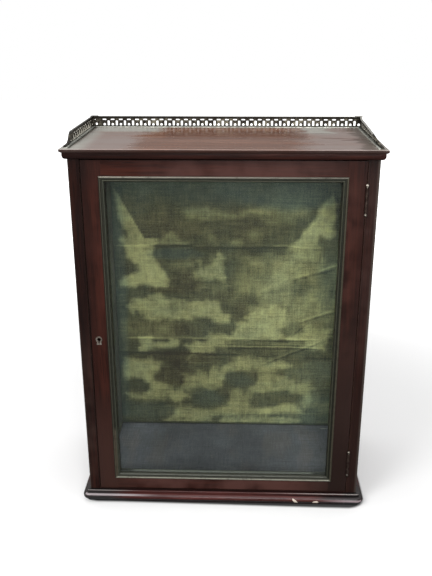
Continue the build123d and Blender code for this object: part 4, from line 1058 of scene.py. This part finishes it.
# Folds pressed into the back cloth: two ends (x, z), height and half width of the ridge in millimetres,
# and how much it pales (above 0) or darkens (below 0) the cloth along it: painted highlight and shade on the folds,
# the pale partly wear
clothFolds = [
    ((-197, 391), (-136, 391), 0.9, 1.1, 0.62), ((-137, 395), (-64, 394), 0.8, 1.5, 0.42),
    ((-60, 392), (84, 392), 0.4, 1.4, 0.10), ((82, 392), (118, 393), 0.7, 1.2, 0.55),
    ((112, 392), (176, 388), 0.7, 1.1, 0.42),
    ((-134, 390.5), (-60, 391), -0.6, 1.7, -0.40), ((-60, 388), (120, 388), -0.4, 1.8, -0.20),
    ((122, 387), (170, 386), -0.4, 1.0, -0.30),
    ((-184, 210.5), (-30, 211), 0.9, 1.6, 0.72), ((-30, 211), (180, 210.5), 0.6, 1.3, 0.40),
    ((-138, 205), (-98, 204.5), -0.6, 1.2, -0.50), ((-66, 206.5), (-30, 206), -0.6, 1.1, -0.50),
    ((2, 206), (32, 206), -0.5, 1.2, -0.55), ((46, 206.5), (152, 206.5), -0.7, 1.2, -0.70),
    ((-60, 200), (180, 199), 0.5, 0.9, 0.16), ((-20, 198), (140, 197.5), -0.4, 0.8, -0.25),
    ((-76, 194), (30, 195), 0.8, 1.2, 0.40), ((20, 195.5), (186, 193), 0.9, 1.4, 0.66),
    ((0, 191), (170, 190), -0.5, 1.2, -0.35),
    ((-204, 178.5), (20, 177.5), -1.1, 1.3, -0.95), ((0, 177.5), (34, 177), -0.8, 1.2, -0.60),
    ((54, 176), (100, 175), -0.5, 1.3, -0.40), ((146, 172), (203, 171), -0.8, 1.2, -0.60),
    ((118, 332), (157, 341), 0.9, 2.0, 0.35), ((168, 346), (202, 356), 1.0, 1.6, 0.60),
    ((150, 335), (202, 350), -0.7, 2.2, -0.28), ((120, 326), (152, 334), -0.5, 2.0, -0.22),
    ((140, 248), (200, 269), 0.8, 2.0, 0.30), ((136, 243), (196, 262), -0.6, 2.0, -0.30),
    ((186, 207), (62, 152), -0.7, 2.0, -0.30), ((188, 212), (66, 158), 0.6, 1.8, 0.18),
    ((150, 240), (122, 216), 0.7, 1.8, -0.26), ((-200, 276), (-182, 275), 0.5, 1.4, 0.30),
    ((-190, 66), (-110, 68), -0.5, 2.0, -0.14), ((100, 53), (150, 55), -0.5, 1.2, -0.35),
    ((150, 52), (200, 56), 0.6, 1.2, 0.34), ((30, 49), (150, 50), -0.4, 1.2, -0.30),
    ((-100, 59), (-40, 57), -0.4, 1.2, -0.25), ((174, 380), (174, 358), 0.4, 0.8, 0.45),
    ((178, 378), (178, 362), 0.4, 0.6, 0.30), ((96, 498), (118, 490), 0.4, 1.0, 0.10),
]

foldLook = {
    "bends": [(2.2, 23.0, 40), (0.8, 6.0, 80)],     # how far the line wanders, over what length, seed
    "ends": (-4.0, 10.0),                           # along it, where it begins and where it is full
    "breaks": (0.55, 0.9, 31.0, 120),               # least height, what noise adds, over what length, seed
}


# Distance across and share along each fold's line, from the two ends; a gaussian ridge across it,
# faded out at both ends and bent a little by soft noise
def foldField(x, z, folds):
    relief, shade = np.zeros_like(x), np.zeros_like(x)
    start, full = foldLook["ends"]
    least, more, breakSize, breakSeed = foldLook["breaks"]
    for number, ((x0, z0), (x1, z1), height, halfWidth, tint) in enumerate(folds):
        length = math.hypot(x1 - x0, z1 - z0)
        ux, uz = (x1 - x0) / length, (z1 - z0) / length
        along = (x - x0) * ux + (z - z0) * uz
        across = (z - z0) * ux - (x - x0) * uz
        for reach, size, seed in foldLook["bends"]:
            across = across + reach * (softNoise(along, np.full_like(along, number), size, seed + number) - 0.5)
        weight = smoothStep(along, start, full) * smoothStep(along, length - start, length - full)
        weight = weight * np.exp(-(across / halfWidth) ** 2)
        weight = weight * (least + more * softNoise(along, np.zeros_like(along), breakSize, breakSeed + number))
        relief += height * weight
        shade += tint * weight
    return relief, shade


# Signed distance from a closed outline, above 0 inside: the least distance to its sides, with the sign from
# how often a line to the right crosses them
def insideDistance(x, z, outline):
    least = np.full(x.shape, 1e9)
    inside = np.zeros(x.shape, bool)
    for (x0, z0), (x1, z1) in zip(outline, outline[1:] + outline[:1]):
        dx, dz = x1 - x0, z1 - z0
        share = np.clip(((x - x0) * dx + (z - z0) * dz) / (dx * dx + dz * dz), 0.0, 1.0)
        least = np.minimum(least, np.hypot(x - x0 - share * dx, z - z0 - share * dz))
        if dz != 0:
            inside ^= ((z0 > z) != (z1 > z)) & (x < x0 + (z - z0) * dx / dz)
    return np.where(inside, least, -least)


# Lobes of three sizes, and streaks along weft and warp: strength, how far drawn out on x and z, size
cloudParts = [(0.9, 1.0, 1.0, 19.0), (0.7, 1.0, 1.0, 8.5), (0.5, 1.0, 1.0, 4.2), (0.7, 8.0, 1.0, 3.4),
              (0.7, 1.0, 7.0, 3.6)]
cloudSpread = 0.9


# Cloudy values from about -1 to 1
def cloudy(x, z, seed):
    value, half = 0.0, 0.5 * sum(part[0] for part in cloudParts)
    for number, (strength, longX, longZ, size) in enumerate(cloudParts):
        value = value + strength * softNoise(x / longX, z / longZ, size, seed + number)
    return (value - half) / cloudSpread


# Millimetres, paleness from 0 to 1, and seeds, for the back cloth
backLook = {
    "ripples": [(0.5, 70.0, 11), (0.3, 24.0, 12)],
    "unstained": (0.14, [(-0.03, 430.0, 500.0)]),
    "stainWander": (5.4, 500),       # how ragged the stains' edges are
    "stainEdge": 1.05,
    "wedgeWander": (2.6, 520),
    "wedgeEdge": (-4.0, 6.0),
    "leftPale": (0.84, [(0.22, 400.0, 340.0), (-0.34, 450.0, 496.0)]),
    "rightPale": (1.30, [(-0.45, 430.0, 392.0), (-0.5, 456.0, 486.0)]),
    # the left wedge's crisp side: its top, how far it runs inwards for each unit down, lowest height, edge
    "crispTip": (-197.0, 500.0),
    "crispSlope": 0.545,
    "crispFoot": 404.0,
    "crispEdge": (-0.8, 1.4),
    "leftMargin": (0.25, [(0.75, -200.0, -190.0)]),    # share of the paleness kept, along x
    "mottleSeed": 540,
    "paleness": 0.88,
    "mottle": (0.30, 0.05),          # on pale cloth, everywhere
    "foldShade": (0.45, 0.75),       # everywhere, on pale cloth
    # painted shade along the foot, where the cloth meets the floor
    "footLine": (-0.8, 5.0, 2.5),    # dark along the foot: change, heights where it begins and is full
    "paleMost": 1.5,
    "face": 0.5,                     # of the sheet behind the front of its box, and how deep a hollow may be
    "hollow": 0.15,
    # tone, from 0, brown, through 0.4, olive, to 1, blue-green
    "tone": 0.38,
    "toneSpots": (-0.38, 0.6),       # what the brown places and the cold ones bring
    "toneRight": [(0.05, 90.0, 180.0)],
    "toneNoise": [(0.24, 38.0, 15), (0.14, 12.0, 16)],
    "spotEdge": (2.0, 0.1),
}


# Each stain's paleness takes over from what lies under it, by how far inside its outline a point is; clouds on
# that distance make the edges ragged
def fadeField(x, z):
    reach, seed = backLook["stainWander"]
    wander = reach * cloudy(x, z, seed)
    fade = stepped(z, *backLook["unstained"])
    for paleness, softEdge, outline in stains:
        edge = backLook["stainEdge"] * softEdge
        cover = smoothStep(insideDistance(x, z, outline) + wander, -edge, edge)
        fade = fade + (paleness - fade) * cover
    return fade


# The two pale wedges: crisp along the slanting side, ragged along the others
wedges = {
    "left": [(-200, 500), (-180, 500), (-120, 402), (-126, 388), (-131, 374), (-122, 360), (-113, 348), (-107, 336),
        (-104, 326), (-106, 312), (-128, 311), (-140, 315), (-158, 314), (-164, 310), (-182, 311), (-194, 312),
        (-192, 322), (-185, 331), (-168, 338), (-159, 344), (-160, 354), (-167, 359), (-179, 368), (-181, 378),
        (-184, 390), (-190, 404), (-182, 410), (-177, 404), (-175, 408), (-176, 417), (-183, 421), (-188, 432),
        (-191, 446), (-192, 466), (-195, 486)],
    "right": [(186, 487), (178, 477), (171, 472), (163, 462), (161, 452), (154, 440), (146, 428), (138, 418),
        (134, 410), (126, 402), (119, 395), (112, 388), (124, 380), (150, 386), (167, 389), (165, 400), (167, 410),
        (178, 404), (190, 406), (196, 414), (193, 425), (196, 440), (193, 455), (194, 470), (190, 482)],
}


# How much of each wedge covers a point, and its paleness there
def wedgeField(x, z):
    look = backLook
    reach, seed = look["wedgeWander"]
    wander = reach * cloudy(x, z, seed)
    left, right = (smoothStep(insideDistance(x, z, wedges[side]) + wander, *look["wedgeEdge"])
                   for side in ("left", "right"))
    tipX, tipZ = look["crispTip"]
    crisp = smoothStep(tipX + look["crispSlope"] * (tipZ - z) - x, *look["crispEdge"])
    left = left * np.where(z > look["crispFoot"], crisp, 1.0)
    return (left, stepped(z, *look["leftPale"])), (right, stepped(z, *look["rightPale"]))


def spots(x, z, places):
    total = np.zeros_like(x)
    for middleX, middleZ, halfWidth, halfHeight, strength in places:
        square = ((x - middleX) / halfWidth) ** 2 + ((z - middleZ) / halfHeight) ** 2
        total = total + strength * smoothStep(square, *backLook["spotEdge"])
    return np.clip(total, 0.0, 1.0)


def toneField(x, z):
    look = backLook
    brown, cold = look["toneSpots"]
    tone = look["tone"] + brown * spots(x, z, brownPlaces) + cold * spots(x, z, coldPlaces)
    return np.clip(stepped(x, tone, look["toneRight"]) + wavy(x, z, look["toneNoise"]), 0.0, 1.0)


def backCloth():
    look = backLook
    low, high = (v * 1000.0 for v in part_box("cloth_back"))
    stepX, stepZ = clothLook["backGrid"]
    columns, rows = int((high.x - low.x) / stepX), int((high.z - low.z) / stepZ)
    x, z = np.meshgrid(np.linspace(low.x, high.x, columns), np.linspace(low.z, high.z, rows))
    relief, foldShade = foldField(x, z, clothFolds)
    relief = relief + wavy(x, z, look["ripples"])
    fade = fadeField(x, z)
    for cover, paleness in wedgeField(x, z):
        fade = fade + (paleness - fade) * cover
    fade = fade * stepped(x, *look["leftMargin"])
    mottle = cloudy(x, z, look["mottleSeed"])
    onPale, everywhere = look["mottle"]
    plainShade, paleShade = look["foldShade"]
    fade = (look["paleness"] * fade * (1.0 + onPale * mottle) + everywhere * mottle
            + foldShade * (plainShade + paleShade * fade))
    # painted shade along the foot
    fade = stepped(z - low.z, fade, [look["footLine"]])
    face = low.y + look["face"]
    points = np.stack([x, np.minimum(face - relief, face + look["hollow"]), z], -1) * mm
    attributes = {"fade": np.clip(fade, 0.0, look["paleMost"]), "tone": toneField(x, z)}
    return sheetMesh("back_cloth", points, np.stack([x, z], -1) * mm, attributes)


# The other linings have only soft ripples
plainLook = {
    # noises: strength, size in millimetres, seed after the sheet's own
    "ripples": [(0.5, 60.0, 0), (0.25, 17.0, 1)],
    "fade": [(0.25, 40.0, 2), (0.1, 6.0, 3)],
    "tone": [(0.3, 50.0, 4)],
    "rippleRange": (-0.2, 0.6),
    "lift": 0.5,       # of the sheet's middle below the face of its box
    # the corner that each starts from (-1 low, 1 high on x, y and z), the two axes that it runs along, seed,
    # paleness, tone
    "sheets": {
        "left": ((1, -1, -1), (1, 2), 199, 0.06, 0.60),
        "right": ((-1, 1, -1), (1, 2), 201, 0.06, 0.60),
        "floor": ((-1, -1, 1), (0, 1), 300, 0.20, 0.90),
        "ceiling": ((-1, 1, -1), (0, 1), 400, 0.12, 0.90),
    },
}


# s and t run along the sheet's two edges from its corner, and ripples stand off along their cross product
def plainCloth(side):
    look = plainLook
    corner, (first, second), seed, fadeLevel, toneLevel = look["sheets"][side]
    low, high = (np.array(v * 1000.0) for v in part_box("cloth_" + side))
    signs = np.array(corner, float)
    origin = np.where(signs > 0, high, low)
    origin[3 - first - second] -= signs[3 - first - second] * look["lift"]
    across, up = np.zeros(3), np.zeros(3)
    across[first], up[second] = -signs[first], -signs[second]
    wide, tall = (high - low)[first], (high - low)[second]
    step = clothLook["plainGrid"]
    s, t = np.meshgrid(np.linspace(0, wide, int(wide / step)), np.linspace(0, tall, int(tall / step)))
    relief = np.clip(wavy(s, t, look["ripples"], seed), *look["rippleRange"])
    points = origin + s[..., None] * across + t[..., None] * up + relief[..., None] * np.cross(across, up)
    attributes = {"fade": np.clip(fadeLevel + wavy(s, t, look["fade"], seed), 0.0, 1.0),
                  "tone": np.clip(toneLevel + wavy(s, t, look["tone"], seed), 0.0, 1.0)}
    piece = sheetMesh(side + "_cloth", points * mm, np.stack([s, t], -1) * mm, attributes)
    return piece, (wide * mm, tall * mm)


# Streaks along the threads of the warp and of the weft
def streaky(look):
    thin = clothLook["threadStretch"]
    warp = noise(look["warp"], (1.0, thin, 1.0), kind="UV")
    return (warp + noise(look["weft"], (thin, 1.0, 1.0), kind="UV")) * 0.5


# The weave's height is two crossed sine waves on the UV map
def clothShader(material, colour, look, fluff):
    turn = 2.0 * math.pi / clothLook["threadPitch"]
    across, up = split(outOf("TexCoord", {}, "UV"))[:2]
    weave = calc("SINE", across * turn) * calc("SINE", up * turn)
    return finishWith(material, {
        "Base Color": colour,
        "Roughness": look["roughness"],
        "Specular IOR Level": clothLook["specular"],
        "Sheen Weight": clothLook["sheen"],
        "Normal": bump(weave * clothLook["threadRelief"] + fluff, clothLook["relief"], look["bumpStrength"]),
    })


def clothFinish():
    material = newMaterial("cloth.lining")
    look = clothLook
    fade, tone = attribute("fade"), attribute("tone")
    fluff = noise(look["fluff"], kind="UV")
    share = look["streakShare"]
    rough = streaky(look) * share + fluff * (1.0 - share) - 0.5
    level = larger(rough * ramp(fade, *look["swing"], kind="LINEAR") + fade, 0.0)
    dark = mixed(ramp(tone, *look["olive"], kind="LINEAR"), look["brownDark"], look["oliveDark"])
    dark = mixed(ramp(tone, *look["cold"], kind="LINEAR"), dark, look["coldDark"])
    pale = mixed(ramp(tone, *look["paleCold"], kind="LINEAR"), look["warmPale"], look["coldPale"])
    colour = mixed(level, dark, pale, clamped=False)     # a level above 1 goes on past the pale colour
    # painted light, lighter towards the right
    colour = scaled(colour, ramp(axes()[0], *look["gain"]))
    return clothShader(material, colour, look, fluff)


def floorClothFinish():
    material = newMaterial("cloth.floor")
    look = floorLook
    x, y, z = axes()
    fluff = noise(look["fluff"], kind="UV")
    level = fluff * look["fluffShare"] + noise(look["cloud"], kind="UV") * look["cloudShare"] + attribute("fade")
    dull, bright = (tuple(gain * c for c in look["tone"]) for gain in look["gains"])
    colour = mixed(ramp(level, *look["toneRange"]), dull, bright)
    colour = mixed(ramp(noise(*look["warmNoise"]), *look["warmRange"]), colour, look["warm"])
    behind = (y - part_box("cloth_floor")[1].y) * -1.0
    # darker right by the back: painted shade in the corner
    sides = (ramp(x, *look["right"]) + ramp(x, *look["left"])) * ramp(behind, *look["back"])
    colour = scaled(colour, sides)
    colour = scaled(colour, ramp(streaky(look), *look["streakRange"], kind="LINEAR"))
    thread = patch(x, y, look["thread"], noise(look["threadNoise"]))
    colour = mixed(thread, colour, look["threadColour"])
    return clothShader(material, colour, look, fluff * look["fluffRelief"])


def lay(piece, side, material):
    piece.data.materials.append(material)
    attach(piece, "case")
    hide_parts("cloth_" + side)


clothMaterial, floorMaterial = clothFinish(), floorClothFinish()
lay(backCloth(), "back", clothMaterial)
for side in plainLook["sheets"]:
    piece, flat = plainCloth(side)
    lay(piece, side, floorMaterial if side == "floor" else clothMaterial)
print("linings laid")


# floor, light and camera

studio = {
    "floorHalf": 6.0,
    "floorColour": (0.86, 0.86, 0.86),
    "floorBounce": (0.28, 0.28, 0.28),
    "floorLift": (0.45, 1.60, 0.0, 0.90),    # light added for the eye, from none near the case to full
    # painted contact shadow in the narrow gap under the base moulding: the foot's half width and front less a corner
    # radius, the radius, distances out from it where the dark ends and is full, strength, colour
    "foot": (0.2105, 0.089, 0.020),
    "gap": (0.0100, 0.0030, 0.95),
    "gapSlant": (-0.17, 0.17, 0.0034, -0.0032),    # what is added to the distance along x
    "gapBehind": (0.118, 0.112),
    "gapShadow": (0.03, 0.03, 0.03),
    "skyRise": (0.12, 0.90, 0.0, 1.05),      # heights between which the sky grows brighter, and by how much
    "skyBack": (0.0, 0.9, 0.14, 0.30),       # its brightness at the horizon, from the front to the back
    # place, what it is aimed at, size, power
    "key": ((-1.5, -1.7, 2.1), (0.0, 0.0, 0.3), 1.3, 36.0),
    "fill": ((0.35, -2.6, 1.1), (0.0, 0.0, 0.3), 1.5, 42.0),
}


# One shader for the light that something gives, and another for the camera
def forCamera(lit, seen):
    return outOf("MixShader", {0: outOf("LightPath", {}, "Is Camera Ray"), 1: lit, 2: seen})


# White to the eye, greyer for the light it throws back up at the case
def studioFloor():
    half = studio["floorHalf"]
    mesh = bpy.data.meshes.new("studio_floor")
    mesh.from_pydata([(-half, -half, 0), (half, -half, 0), (half, half, 0), (-half, half, 0)], [], [(0, 1, 2, 3)])
    floor = newObject("studio_floor", mesh)
    mesh.materials.append(newMaterial("studio.floor"))
    away = outOf("VectorMath", {0: outOf("TexCoord", {}, "Object")}, "Value", operation="LENGTH")
    lift = outOf("Emission", {"Color": white, "Strength": ramp(away, *studio["floorLift"])})
    # the distance out from the foot's outline with its rounded corners
    halfWide, front, radius = studio["foot"]
    none, full, strength = studio["gap"]
    x, y, z = axes()
    aside, ahead = larger(abs(x) - halfWide, 0.0), larger(y * -1.0 - front, 0.0)
    out = calc("SQRT", aside * aside + ahead * ahead) + ramp(x, *studio["gapSlant"], kind="LINEAR")
    # painted contact shadow round the foot
    dark = ramp(out, radius + none, radius + full, 0.0, strength) * ramp(y, *studio["gapBehind"])
    pale = outOf("BsdfDiffuse", {"Color": mixed(dark, studio["floorColour"], studio["gapShadow"])})
    bounce = outOf("BsdfDiffuse", {"Color": studio["floorBounce"]})
    addNode("OutputMaterial", {"Surface": forCamera(bounce, outOf("AddShader", {0: pale, 1: lift}))})


# White to the camera; for the light it gives, bright overhead, dim at the horizon, a little paler behind
def studioSky():
    world = bpy.data.worlds.new("studio")
    bpy.context.scene.world = world
    world.use_nodes = True
    openTree(world.node_tree)
    x, y, z = split(outOf("TexCoord", {}, "Generated"))
    strength = ramp(z, *studio["skyRise"]) + ramp(y, *studio["skyBack"])
    lit = outOf("Background", {"Color": white, "Strength": strength})
    seen = outOf("Background", {"Color": white, "Strength": 1.0})
    addNode("OutputWorld", {"Surface": forCamera(lit, seen)})


def softLamp(name):
    place, aim, size, power = studio[name]
    data = bpy.data.lights.new(name, "AREA")
    data.shape = "DISK"
    data.size = size
    data.energy = power
    lamp = newObject(name, data)
    lamp.location = place
    away = np.array(place) - np.array(aim)
    lamp.rotation_euler = Euler((math.acos(away[2] / np.linalg.norm(away)), 0.0,
                                 math.atan2(away[1], away[0]) + math.pi / 2))


studioFloor()
studioSky()
softLamp("key")
softLamp("fill")

cameraSet = {"place": (0.0247, -1.1547, 0.7788), "lens": 45.96, "sensor": 36.0, "down": 20.43, "left": 1.91,
             "roll": -0.12}
cameraData = bpy.data.cameras.new("camera")
cameraData.lens = cameraSet["lens"]
cameraData.sensor_width = cameraSet["sensor"]
camera = newObject("camera", cameraData)
camera.location = cameraSet["place"]
turned = Euler((math.radians(90.0 - cameraSet["down"]), 0.0, math.radians(cameraSet["left"]))).to_matrix()
rolled = Euler((0.0, 0.0, math.radians(cameraSet["roll"]))).to_matrix()
camera.rotation_euler = (turned @ rolled).to_euler()
bpy.context.scene.camera = camera
print("studio set up")
